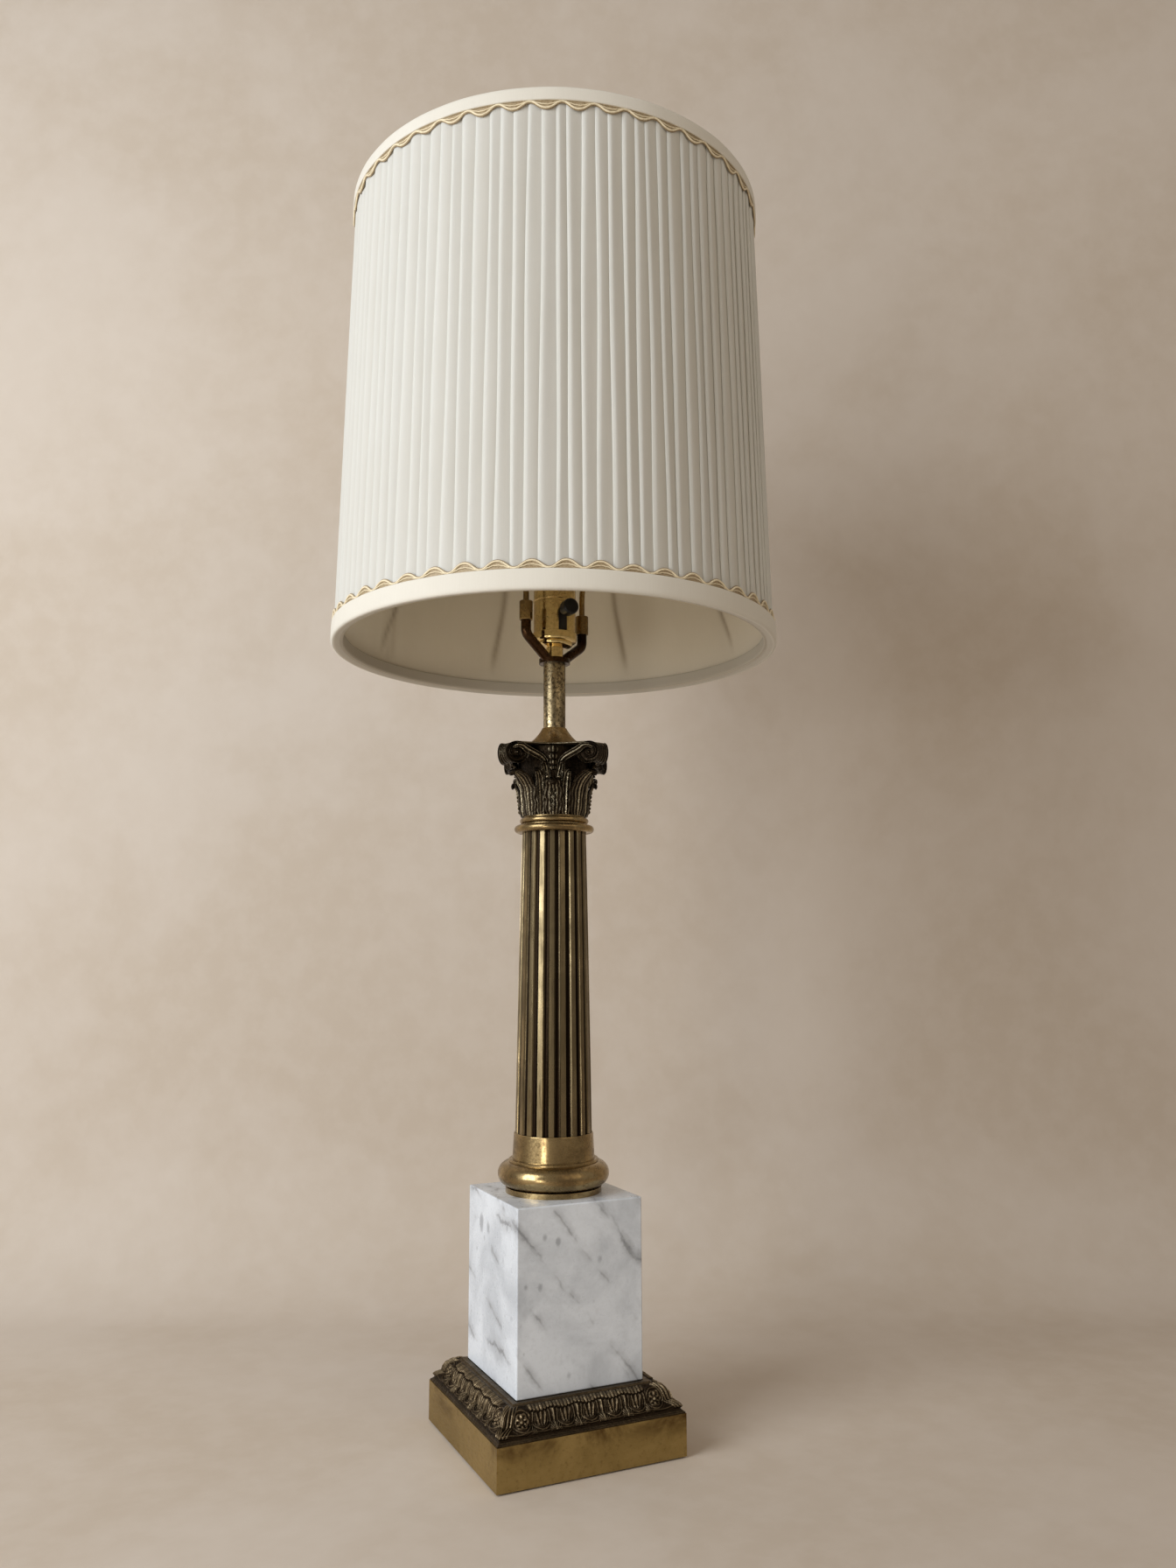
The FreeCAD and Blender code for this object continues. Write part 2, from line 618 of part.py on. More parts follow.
def corner_scroll():
    """The pair of scrolls at one corner, made along +X: a roll between two slanted faces."""
    centre = SCROLL_TIP_RADIUS - SCROLL_RADIUS
    height = CAPITAL_HEIGHT - SCROLL_DROP - SCROLL_RADIUS
    tip = SCROLL_TIP_WIDTH / 2
    slope = math.tan(math.radians(SCROLL_WEDGE))
    root = tip + 2 * SCROLL_RADIUS * slope
    low = height - SCROLL_RADIUS
    inside = centre - SCROLL_RADIUS
    plan = [at(SCROLL_TIP_RADIUS, low, 0, tip), at(inside, low, 0, root), at(inside, low, 0, -root),
            at(SCROLL_TIP_RADIUS, low, 0, -tip), at(SCROLL_TIP_RADIUS, low, 0, tip)]
    wedge = Part.Face(Part.makePolygon(plan)).extrude(UP * SCROLL_RADIUS * 2)
    roll = bar(at(centre, height, 0, -root), at(centre, height, 0, root), SCROLL_RADIUS)
    scroll = roll.common(wedge)
    for side in (-1, 1):
        face = side * (tip + SCROLL_RADIUS * slope)
        normal = at(slope, 0, 0, side)
        spot = at(centre, height, 0, face)
        ring = Part.makeTorus(SCROLL_RADIUS * 0.6, SCROLL_GROOVE, spot, normal)
        scroll = scroll.cut(ring)
        scroll = scroll.fuse(Part.makeSphere(SCROLL_RADIUS * 0.22, spot))
    return scroll


def scroll_stem(side):
    """Stem that rises from the middle of a face to one scroll, on the face along +X."""
    wedge = math.radians(45 - SCROLL_WEDGE)
    tip = at(SCROLL_TIP_RADIUS, 0, 45, -SCROLL_TIP_WIDTH / 2)
    inward = FreeCAD.Vector(math.sin(wedge), math.cos(wedge), 0)
    top = CAPITAL_HEIGHT - SCROLL_DROP - STEM_WIRE
    end = tip - inward * SCROLL_RADIUS * 1.7 + UP * top
    start = at(BELL_TOP_RADIUS - STEM_WIRE, CAPITAL_HEIGHT * 0.52, 0, STEM_WIRE * 2.4)
    middle = at(ABACUS_MID_RADIUS, CAPITAL_HEIGHT * 0.78, 0, STEM_WIRE * 4.8)
    path = Part.Wire([Part.Arc(start, middle, end).toShape()])
    stem = pipe(path, STEM_WIRE)
    if side < 0:
        stem = stem.mirror(ORIGIN, ALONG_Y)
    return stem


def leaf_section(reach, top, relief):
    """Side view of a leaf that hugs the bell, then curls out to a round tip."""
    root = BELL_BOTTOM_RADIUS + LEAF_THICK + relief
    neck = root + LEAF_THICK
    turn = top * 0.72
    tip = LEAF_TIP + relief
    inner = BELL_BOTTOM_RADIUS - CAPITAL_WALL / 2
    return outline(
        (inner, 0), (root, 0), (neck, turn),
        ((neck + (reach - neck) * 0.36, turn + (top - turn) * 0.72), (reach - tip, top)),
        ((reach, top + tip), (reach - tip, top + 2 * tip)),
        ((neck + (reach - neck) * 0.3, top + tip), (neck - LEAF_THICK, turn + tip)),
        (inner, turn))


def curled_leaf(reach, width, top):
    """Leaf along +X with lobed edges and a raised middle rib."""
    blade = Part.Face(leaf_section(reach, top, 0)).extrude(ALONG_Y * width)
    blade.translate(ALONG_Y * -width / 2)
    lobes = []
    for height, share in ((0.0, 0.42), (0.34, 0.48), (0.68, 0.5), (1.0, 0.42)):
        lobes.append(Part.makeCylinder(width * share, reach * 2, UP * top * height, ALONG_X))
    lobes.append(Part.makeCylinder(width * 0.3, reach * 2, UP * (top + LEAF_TIP * 2), ALONG_X))
    leaf = blade.common(lobes[0].fuse(lobes[1:]))
    rib = Part.Face(leaf_section(reach + LEAF_RIB, top, LEAF_RIB)).extrude(ALONG_Y * 2 * LEAF_RIB)
    rib.translate(ALONG_Y * -LEAF_RIB)
    return [leaf, rib]


def face_buds():
    """Hanging row of buds under the middle of the abacus, on the face along +X."""
    height = CAPITAL_HEIGHT - ABACUS_THICK
    radius = BUD_RADIUS
    buds = []
    for number in range(BUD_COUNT):
        height -= radius
        share = height / CAPITAL_HEIGHT
        seat = BELL_BOTTOM_RADIUS + share ** 2 * (BELL_TOP_RADIUS - BELL_BOTTOM_RADIUS)
        buds.append(Part.makeSphere(radius, at(seat, height)))
        radius *= BUD_SHRINK
        height -= radius / 2
    return buds


def capital():
    corner_leaf = curled_leaf(CORNER_LEAF_REACH, CORNER_LEAF_WIDTH, CORNER_LEAF_TOP)
    face_leaf = curled_leaf(FACE_LEAF_REACH, FACE_LEAF_WIDTH, FACE_LEAF_TOP)
    whole = capital_bell().fuse(capital_abacus())
    whole = whole.fuse(around(corner_scroll(), 4, 45))
    for part in corner_leaf:
        whole = whole.fuse(around(part, 4, 45))
    for part in face_leaf + face_buds():
        whole = whole.fuse(around(part, 4))
    whole = whole.fuse(around(scroll_stem(1), 4) + around(scroll_stem(-1), 4))
    whole = turned(whole, CAPITAL_YAW)
    whole.translate(UP * CAPITAL_Z)
    return whole


# ---------------------------------------------------------------- neck

def vase_cap():
    """Hollow-sided flare with a thin edge all round."""
    lip = VASE_CAP_HEIGHT / 16
    top = VASE_CAP_HEIGHT
    return spin(
        VASE_CAP_Z, (ROD_HOLE, 0), (VASE_CAP_RADIUS, 0), (VASE_CAP_RADIUS, lip),
        ((VASE_CAP_RADIUS * 0.585, top * 0.57), (STEM_RADIUS + lip, top)), (ROD_HOLE, top))


def stem_tube():
    return tube(STEM_RADIUS, STEM_RADIUS - STEM_WALL, STEM_Z, SADDLE_Z)


# ---------------------------------------------------------------- harp

def half_post(side, keep, bottom, top):
    """Half of a round post at one leg, on the outer (1) or inner (-1) side."""
    post = Part.makeCylinder(SADDLE_ARM, top - bottom, at(side * SADDLE_LEG_OUT, bottom))
    face = side * (SADDLE_LEG_OUT + keep * FACE_GAP / 2)
    box = Part.makeBox(2 * SADDLE_ARM, 4 * SADDLE_ARM, top - bottom)
    x = face if side * keep > 0 else face - 2 * SADDLE_ARM
    box.translate(FreeCAD.Vector(x, -2 * SADDLE_ARM, bottom))
    return post.common(box)


def saddle_arm(side):
    middle = SADDLE_Z + SADDLE_HUB_THICK
    points = [at(side * SADDLE_HUB_RADIUS / 2, SADDLE_Z + SADDLE_ARM / 2),
              at(side * SADDLE_LEG_OUT, middle + SADDLE_ELBOW),
              at(side * SADDLE_LEG_OUT, SHOULDER_Z)]
    return pipe(bent_path(points, [SADDLE_ARM * 2]), SADDLE_ARM)


def harp_saddle():
    """Hub on the stem, with two arms that end in half-round tongues."""
    hub = cylinder(SADDLE_HUB_RADIUS, SADDLE_Z, SOCKET_Z)
    parts = [saddle_arm(-1), saddle_arm(1)]
    parts += [half_post(side, -1, SHOULDER_Z, SHOULDER_Z + SADDLE_TONGUE) for side in (-1, 1)]
    below = cylinder(2 * SADDLE_LEG_OUT, SADDLE_Z - 4 * SADDLE_ARM, SADDLE_Z)
    neck_room = cylinder(NECK_RADIUS + FACE_GAP, SOCKET_Z, SHOULDER_Z)
    saddle = hub.fuse(parts).cut([below, neck_room, cylinder(ROD_HOLE, SADDLE_Z, SOCKET_Z)])
    return turned(saddle, HARP_YAW)


def ferrule(side):
    """Sliding sleeve that locks a harp foot to its tongue."""
    inner_top = FERRULE_HEIGHT - FERRULE_LIP
    ease = FERRULE_LIP / 3
    sleeve = spin(
        SHOULDER_Z, (FERRULE_BORE, 0), (FERRULE_RADIUS - ease, 0), (FERRULE_RADIUS, ease),
        (FERRULE_RADIUS, FERRULE_HEIGHT - ease), (FERRULE_RADIUS - ease, FERRULE_HEIGHT),
        (LEG_BORE, FERRULE_HEIGHT), (LEG_BORE, inner_top), (FERRULE_BORE, inner_top))
    sleeve.translate(ALONG_X * side * SADDLE_LEG_OUT)
    return turned(sleeve, HARP_YAW)


def harp_bow():
    """One bent wire with half-round feet and a boss at the crown."""
    leg_top = FERRULE_TOP_Z + HARP_STRAIGHT
    belly = leg_top + HARP_BELLY_RISE
    foot_top = SHOULDER_Z + SADDLE_TONGUE
    right = [at(SADDLE_LEG_OUT, foot_top), at(SADDLE_LEG_OUT, leg_top), at(HARP_BELLY_OUT, belly),
             at(HARP_SHOULDER_OUT, CROWN_Z - HARP_SHOULDER_DROP), at(HARP_CROWN_OUT, CROWN_Z)]
    left = [FreeCAD.Vector(-spot.x, 0, spot.z) for spot in right]
    bends = [HARP_KNEE_BEND, HARP_BELLY_BEND, HARP_SHOULDER_BEND, HARP_CROWN_BEND]
    bow = pipe(bent_path(left + right[::-1], bends + bends[::-1]), HARP_WIRE)
    feet = [half_post(side, 1, SHOULDER_Z + FACE_GAP, foot_top) for side in (-1, 1)]
    boss = cylinder(HARP_BOSS_RADIUS, SEAT_Z - HARP_BOSS_HEIGHT, SEAT_Z)
    hole = cylinder(HARP_STUD_RADIUS + RUNNING_GAP, SEAT_Z - HARP_BOSS_HEIGHT, SEAT_Z)
    return turned(bow.fuse(feet + [boss]).cut(hole), HARP_YAW)


def harp_stud():
    bottom = SEAT_Z - HARP_BOSS_HEIGHT
    head = cylinder(HARP_STUD_HEAD_RADIUS, bottom - HARP_STUD_HEAD_THICK, bottom)
    return head.fuse(cylinder(HARP_STUD_RADIUS, bottom, SEAT_Z + HARP_STUD_RISE)).removeSplitter()


def finial():
    """Turned knob that screws down over the stud."""
    bore = HARP_STUD_RADIUS + RUNNING_GAP
    depth = HARP_STUD_RISE - HUB_THICK + FACE_GAP
    flange = FINIAL_HEIGHT * 0.08
    waist = FINIAL_RADIUS * 0.62
    ball = FINIAL_RADIUS * 0.87
    tip = FINIAL_RADIUS * 0.4
    return spin(
        SEAT_Z + HUB_THICK, (bore, 0), (FINIAL_RADIUS, 0), (FINIAL_RADIUS, flange),
        (waist, flange * 2), (waist, FINIAL_HEIGHT * 0.28),
        ((ball, FINIAL_HEIGHT * 0.52), (tip, FINIAL_HEIGHT - tip)),
        dome(tip, FINIAL_HEIGHT - tip, tip), (0, depth), (bore, depth))


# ---------------------------------------------------------------- socket

def socket_cap():
    """Neck on the rod, a stepped dish and a rim that takes the shell."""
    wall = SOCKET_CAP_WALL
    rim = SOCKET_CAP_RADIUS
    top = SOCKET_CAP_HEIGHT
    step = (rim + NECK_RADIUS) / 2
    bore = ROD_RADIUS + RUNNING_GAP
    seat = rim - wall
    return spin(
        SOCKET_Z, (bore, 0), (NECK_RADIUS, 0), (NECK_RADIUS, NECK_LENGTH),
        (step, NECK_LENGTH + wall),
        ((step + 2.2 * wall, NECK_LENGTH + 2 * wall), (step + 2.6 * wall, NECK_LENGTH + 4 * wall)),
        (rim - 2 * wall, NECK_LENGTH + 4.6 * wall),
        ((rim - wall / 2, NECK_LENGTH + 5.6 * wall), (rim, NECK_LENGTH + 7.4 * wall)),
        (rim, top - wall / 2), (rim - wall / 2, top), (seat, top), (seat, NECK_LENGTH + 7.6 * wall),
        (rim - 3 * wall, NECK_LENGTH + 6 * wall), (step + 1.6 * wall, NECK_LENGTH + 5.4 * wall),
        (step, NECK_LENGTH + 3 * wall), (bore, NECK_LENGTH + 2 * wall)).cut(set_screw_bar(SET_SCREW_RADIUS))


def set_screw_bar(radius):
    height = SOCKET_Z + SET_SCREW_HEIGHT
    inner = ROD_RADIUS + RUNNING_GAP
    outer = inner + SET_SCREW_LENGTH
    return bar(at(inner, height, SET_SCREW_ANGLE), at(outer, height, SET_SCREW_ANGLE), radius)


def socket_set_screw():
    return set_screw_bar(SET_SCREW_RADIUS - RUNNING_GAP)


def shell_seat():
    """Lower edge of the shell, just above the dish inside the cap's rim."""
    return SOCKET_Z + NECK_LENGTH + 7.6 * SOCKET_CAP_WALL + FACE_GAP


def switch_slot(outer):
    """Slot from the lower edge up to the switch, where the knob's neck passes."""
    half = KNOB_NECK_RADIUS + FACE_GAP
    slot = Part.makeBox(2 * half, outer, SWITCH_Z - SOCKET_Z, FreeCAD.Vector(-half, -outer, SOCKET_Z))
    return slot.fuse(bar(FreeCAD.Vector(0, 0, SWITCH_Z), FreeCAD.Vector(0, -outer, SWITCH_Z), half))


def socket_shell():
    top = SHELL_TOP - shell_seat() + SOCKET_Z
    bead = SHELL_BEAD_HEIGHT - shell_seat() + SOCKET_Z
    inner = SHELL_RADIUS - SHELL_WALL
    shell = spin(
        shell_seat(), (inner, 0), (SHELL_RADIUS, 0), (SHELL_RADIUS, bead - SHELL_BEAD),
        ((SHELL_RADIUS + SHELL_BEAD, bead), (SHELL_RADIUS, bead + SHELL_BEAD)),
        (SHELL_RADIUS, top - 2 * SHELL_BEAD),
        ((SHELL_RADIUS + SHELL_BEAD, top - SHELL_BEAD), (SHELL_RADIUS, top)), (inner, top))
    return shell.cut(switch_slot(2 * SHELL_RADIUS))


def socket_liner():
    top = SOCKET_Z + SHELL_TOP - SHELL_WALL
    return tube(LINER_RADIUS, LINER_RADIUS - LINER_WALL, shell_seat(), top).cut(switch_slot(2 * SHELL_RADIUS))


def socket_body():
    """Moulded switch housing with two flats for the terminals."""
    block_shape = cylinder(BODY_RADIUS, shell_seat(), BODY_TOP_Z)
    depth = BODY_RADIUS - 2 * TERMINAL_THICK
    low = shell_seat() + TERMINAL_THICK
    cuts = []
    for side in (0, 180):
        flat = Part.makeBox(BODY_RADIUS, 4 * TERMINAL_RADIUS, 3 * TERMINAL_RADIUS,
                            FreeCAD.Vector(depth, -2 * TERMINAL_RADIUS, low))
        cuts.append(turned(flat, side))
        cuts.append(turned(terminal_shank(RUNNING_GAP), side))
    shaft = bar(FreeCAD.Vector(0, -SWITCH_SHAFT_INNER + FACE_GAP, SWITCH_Z),
                FreeCAD.Vector(0, -2 * BODY_RADIUS, SWITCH_Z), SWITCH_SHAFT_RADIUS + RUNNING_GAP)
    return block_shape.cut(cuts + [shaft])


def terminal_height():
    return shell_seat() + TERMINAL_THICK + 1.5 * TERMINAL_RADIUS


def terminal_shank(gap):
    depth = BODY_RADIUS - 2 * TERMINAL_THICK
    return bar(at(depth - TERMINAL_DEPTH, terminal_height()), at(depth, terminal_height()),
               TERMINAL_RADIUS / 2 + gap)


def terminal_screws():
    depth = BODY_RADIUS - 2 * TERMINAL_THICK
    head = bar(at(depth, terminal_height()), at(depth + TERMINAL_THICK, terminal_height()), TERMINAL_RADIUS)
    screw = head.fuse(terminal_shank(0)).removeSplitter()
    return Part.makeCompound([screw, turned(screw, 180)])


def switch_shaft():
    length = KNOB_START + KNOB_NECK_LENGTH + KNOB_LENGTH / 2
    return lying(cylinder(SWITCH_SHAFT_RADIUS, SWITCH_SHAFT_INNER, length), SWITCH_Z)


def switch_knob():
    """Round black knob on a narrow neck, bored for the shaft."""
    bore = SWITCH_SHAFT_RADIUS + RUNNING_GAP
    neck = KNOB_NECK_LENGTH
    end = neck + KNOB_LENGTH
    ease = KNOB_RADIUS / 4
    depth = neck + KNOB_LENGTH / 2 + RUNNING_GAP
    knob = spin(
        KNOB_START, (bore, 0), (KNOB_NECK_RADIUS, 0), (KNOB_NECK_RADIUS, neck - ease),
        ((KNOB_NECK_RADIUS + ease, neck - ease / 3), (KNOB_RADIUS, neck + ease)),
        (KNOB_RADIUS, end - ease),
        ((KNOB_RADIUS - ease / 3, end - ease / 3), (KNOB_RADIUS - ease, end)),
        (0, end), (0, depth), (bore, depth))
    return lying(knob, SWITCH_Z)


def thread_steps(radius, upward):
    """Rounded thread crests and roots in section, as arcs from the thread's foot to its top."""
    quarter = THREAD_PITCH / 4
    steps = []
    for number in range(2 * THREAD_COUNT):
        lean = THREAD_DEPTH if number % 2 == 0 else -THREAD_DEPTH
        foot = number * 2 * quarter
        end = foot + 2 * quarter
        steps.append(((radius + lean, foot + quarter), (radius, end)))
    if upward:
        return steps
    ends = [(radius, 0.0)] + [end for _, end in steps]
    return [(middle, ends[number]) for number, (middle, _) in reversed(list(enumerate(steps)))]


def screw_shell():
    """Threaded sleeve that takes the bulb, with a floor that stands on the housing."""
    inner = THREAD_RADIUS + THREAD_GAP
    outer = inner + THREAD_WALL
    floor = -SCREW_SHELL_LEAD
    hole = CONTACT_RADIUS + 2 * FACE_GAP
    return spin(
        THREAD_Z, (hole, floor), (outer, floor), (outer, 0), *thread_steps(outer, True),
        (inner, THREAD_COUNT * THREAD_PITCH), *thread_steps(inner, False),
        (inner, floor + THREAD_WALL), (hole, floor + THREAD_WALL))


def centre_contact():
    """Springy tongue in the middle of the socket's floor."""
    side = CONTACT_HEIGHT * 0.6
    return spin(BODY_TOP_Z, (0, 0), (CONTACT_RADIUS, 0), (CONTACT_RADIUS, side),
                dome(CONTACT_RADIUS, side, CONTACT_HEIGHT - side))


# ---------------------------------------------------------------- bulb

def bulb_tip_z():
    return BODY_TOP_Z + CONTACT_HEIGHT + FACE_GAP


def bulb_contact():
    """Solder button at the foot of the bulb."""
    edge = BUTTON_HEIGHT - BUTTON_DOME
    rounded = dome(CONTACT_RADIUS, edge, BUTTON_DOME)
    button = spin(0, (0, 0), (CONTACT_RADIUS, 0), (CONTACT_RADIUS, edge), rounded)
    button.rotate(ORIGIN, ALONG_X, 180)
    button.translate(UP * (bulb_tip_z() + BUTTON_HEIGHT))
    return button


def bulb_insulator():
    """Black glass disc between the button and the threaded base."""
    bottom = bulb_tip_z() + BUTTON_HEIGHT
    height = THREAD_Z + THREAD_PITCH - bottom
    root = THREAD_RADIUS - THREAD_DEPTH - THREAD_WALL
    return spin(bottom, (0, 0), (CONTACT_RADIUS, 0), (root, height / 2), (root, height), (0, height))


def bulb_base():
    """Threaded metal base with one turn fewer than the socket, then a plain collar."""
    start = THREAD_Z + THREAD_PITCH
    root = THREAD_RADIUS - THREAD_DEPTH - THREAD_WALL
    top = THREAD_COUNT * THREAD_PITCH
    return spin(start, (root + RUNNING_GAP, 0), (THREAD_RADIUS, 0), *thread_steps(THREAD_RADIUS, True),
                (THREAD_RADIUS, top + THREAD_PITCH / 2), (root + RUNNING_GAP, top + THREAD_PITCH / 2))


def bulb_glass():
    """Pear-shaped envelope, open inside the base."""
    start = THREAD_TOP_Z + 1.5 * THREAD_PITCH - BULB_NECK_IN
    neck = BULB_NECK_RADIUS
    centre = BULB_NECK_IN + BULB_LENGTH - BULB_RADIUS
    share = math.sqrt(0.5)

    def skin(inset):
        radius = BULB_RADIUS - inset
        return [(neck - inset, 0), (neck - inset, BULB_NECK_IN),
                ((neck + (BULB_RADIUS - neck) * 0.42 - inset, centre * 0.52), (radius, centre)),
                ((radius * share, centre + radius * share), (0, centre + radius))]

    outer = spin(start, (0, 0), *skin(0))
    return outer.cut(spin(start, (0, 0), *skin(BULB_GLASS)))


# ---------------------------------------------------------------- shade

def crest_radius(z):
    """Radius of the pleat crests at a height."""
    share = (z - SHADE_BOTTOM_Z) / SHADE_HEIGHT
    return SHADE_BOTTOM_RADIUS + share * (SHADE_TOP_RADIUS - SHADE_BOTTOM_RADIUS)


def cone_shell(outer_inset, inner_inset, bottom, top):
    """A thin tapered shell, measured inward from the crests."""
    low = crest_radius(bottom)
    high = crest_radius(top)
    return spin(0, (low - inner_inset, bottom), (low - outer_inset, bottom),
                (high - outer_inset, top), (high - inner_inset, top))


def pleat_angle(number):
    """Angle of a fold's crest: evenly spaced, but a little uneven as sewn by hand."""
    wander = math.sin(2.4 * number) + math.sin(5.1 * number + 1.0)
    return (number + PLEAT_WANDER * wander / 2) * 360.0 / PLEAT_COUNT


def pleat_ring(z, inset):
    """Saw-tooth section of the cover: each fold slopes in, then steps out to the next crest."""
    radius = crest_radius(z) - inset
    step = PLEAT_FOLD * 360.0 / PLEAT_COUNT
    corners = []
    for number in range(PLEAT_COUNT):
        crest = pleat_angle(number)
        corners.append(at(radius - PLEAT_DEPTH, z, crest - step))
        corners.append(at(radius, z, crest))
    return Part.makePolygon(corners + corners[:1])


def cover_levels():
    """Lower and upper edge of the cover and lining, inside the bindings."""
    inset = BAND_THICK + FACE_GAP
    return SHADE_BOTTOM_Z + inset, SHADE_TOP_Z - inset


def shade_cover():
    """Knife-pleated cover, a ruled skin between its lower and upper rings."""
    bottom, top = cover_levels()
    outer = Part.makeLoft([pleat_ring(bottom, 0), pleat_ring(top, 0)], True, True)
    core = Part.makeLoft([pleat_ring(bottom, COVER_THICK), pleat_ring(top, COVER_THICK)], True, True)
    return outer.cut(core)


def shade_lining():
    bottom, top = cover_levels()
    shell = cone_shell(LINING_INSET, LINING_INSET + LINING_THICK, bottom, top)
    return shell.cut(spider_arm_bars(CLOTH_GAP))


def wire_ring(z):
    return Part.makeTorus(crest_radius(z) - FRAME_INSET, RING_WIRE, UP * z)


def shade_ribs():
    """Straight wires between the two rings."""
    low = at(crest_radius(BOTTOM_RING_Z) - FRAME_INSET, BOTTOM_RING_Z)
    high = at(crest_radius(TOP_RING_Z) - FRAME_INSET, TOP_RING_Z)
    rib = bar(low, high, RIB_WIRE).cut([wire_ring(BOTTOM_RING_Z), wire_ring(TOP_RING_Z)])
    middle = max(rib.Solids, key=lambda solid: solid.Volume)
    return Part.makeCompound(around(middle, RIB_COUNT, RIB_START))


def binding(edge_z, upward, height):
    """Folded cloth tape over an edge of the shade; upward says which way its legs point."""
    way = 1 if upward else -1
    outer = -BAND_GAP - BAND_THICK
    inner = BAND_INNER_INSET + BAND_THICK
    leg = edge_z + way * height
    short = edge_z + way * height * BAND_INNER_SHARE
    floor = edge_z + way * BAND_THICK
    ease = BAND_THICK

    def spot(inset, z):
        return (crest_radius(z) - inset, z)

    bend = edge_z + way * ease
    corner = edge_z + way * ease * 0.3
    return spin(
        0, spot(outer + ease, edge_z), (spot(outer + ease * 0.3, corner), spot(outer, bend)),
        spot(outer, leg), spot(outer + BAND_THICK, leg), spot(outer + BAND_THICK, floor),
        spot(inner - BAND_THICK, floor), spot(inner - BAND_THICK, short), spot(inner, short),
        spot(inner, bend), (spot(inner - ease * 0.3, corner), spot(inner - ease, edge_z)))


def bottom_binding():
    return binding(SHADE_BOTTOM_Z, True, BOTTOM_BAND_HEIGHT)


def top_binding():
    return binding(SHADE_TOP_Z, False, TOP_BAND_HEIGHT).cut(spider_arm_bars(CLOTH_GAP))


def gimp(edge_z, way, waves):
    """Scalloped braid that stands on a binding's edge, over the pleats."""
    low = edge_z - way * GIMP_TUCK
    high = edge_z + way * GIMP_RISE
    bottom, top = min(low, high), max(low, high)
    outer = -(BAND_GAP + GIMP_THICK) / 2
    braid = cone_shell(outer, outer + GIMP_THICK, bottom, top)
    reach = crest_radius(bottom)
    centre = edge_z + way * GIMP_SCALLOP
    hollow = bar(at(reach - 4 * GIMP_THICK, centre), at(reach + 4 * GIMP_THICK, centre), GIMP_SCALLOP)
    return braid.cut(around(hollow, waves))


def bottom_gimp():
    return gimp(SHADE_BOTTOM_Z + BOTTOM_BAND_HEIGHT, 1, BOTTOM_GIMP_COUNT)


def top_gimp():
    return gimp(SHADE_TOP_Z - TOP_BAND_HEIGHT, -1, TOP_GIMP_COUNT)


def spider_hub():
    return tube(HUB_RADIUS, HARP_STUD_RADIUS + HUB_HOLE_GAP, SEAT_Z, SEAT_Z + HUB_THICK)


def spider_arm_bars(gap):
    """The arms, grown by a gap where they are used to clear other pieces."""
    level = SEAT_Z + HUB_THICK / 2
    ring = crest_radius(TOP_RING_Z) - FRAME_INSET
    drop = crest_radius(SHADE_TOP_Z) - BAND_INNER_INSET - BAND_THICK - ARM_WIRE - ARM_INSET
    points = [at(HUB_RADIUS - ARM_WIRE, level), at(drop, level), at(drop, TOP_RING_Z), at(ring, TOP_RING_Z)]
    arm = pipe(bent_path(points, [ARM_BEND, ARM_TOP_BEND]), ARM_WIRE + gap)
    return around(arm, ARM_COUNT, RIB_START)


def spider_arms():
    """Three wires from the hub out and up to the top ring."""
    neighbours = [spider_hub(), wire_ring(TOP_RING_Z)]
    arms = []
    for arm in spider_arm_bars(0):
        trimmed = arm.cut(neighbours)
        arms.append(max(trimmed.Solids, key=lambda solid: solid.Volume))
    return Part.makeCompound(arms)


# ---------------------------------------------------------------- every node

NODES = {
    "felt_pad": felt_pad,
    "base_plinth": base_plinth,
    "base_moulding": base_moulding,
    "marble_block": marble_block,
    "cord_bushing": cord_bushing,
    "threaded_rod": threaded_rod,
    "base_washer": base_washer,
    "lock_washer": lock_washer,
    "rod_nut": rod_nut,
    "column_foot": column_foot,
    "foot_collar": foot_collar,
    "column_shaft": column_shaft,
    "astragal_ring": astragal_ring,
    "capital": capital,
    "vase_cap": vase_cap,
    "stem_tube": stem_tube,
    "harp_saddle": harp_saddle,
    "ferrule_left": lambda: ferrule(-1),
    "ferrule_right": lambda: ferrule(1),
    "harp_bow": harp_bow,
    "harp_stud": harp_stud,
    "finial": finial,
    "socket_cap": socket_cap,
    "socket_set_screw": socket_set_screw,
    "socket_shell": socket_shell,
    "socket_liner": socket_liner,
    "socket_body": socket_body,
    "terminal_screws": terminal_screws,
    "screw_shell": screw_shell,
    "centre_contact": centre_contact,
    "switch_shaft": switch_shaft,
    "switch_knob": switch_knob,
    "bulb_glass": bulb_glass,
    "bulb_base": bulb_base,
    "bulb_insulator": bulb_insulator,
    "bulb_contact": bulb_contact,
    "spider_hub": spider_hub,
    "spider_arms": spider_arms,
    "shade_top_ring": lambda: wire_ring(TOP_RING_Z),
    "shade_bottom_ring": lambda: wire_ring(BOTTOM_RING_Z),
    "shade_ribs": shade_ribs,
    "shade_cover": shade_cover,
    "shade_lining": shade_lining,
    "top_binding": top_binding,
    "bottom_binding": bottom_binding,
    "top_gimp": top_gimp,
    "bottom_gimp": bottom_gimp,
}

os.makedirs("parts", exist_ok=True)
for name, make in NODES.items():
    shape = make()
    shape.exportStep(os.path.join("parts", name + ".step"))
    solids = len(shape.Solids)
    print(f"{name}: {solids} solid(s), {shape.Volume:.1f} mm3, valid {shape.isValid()}")
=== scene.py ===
import math

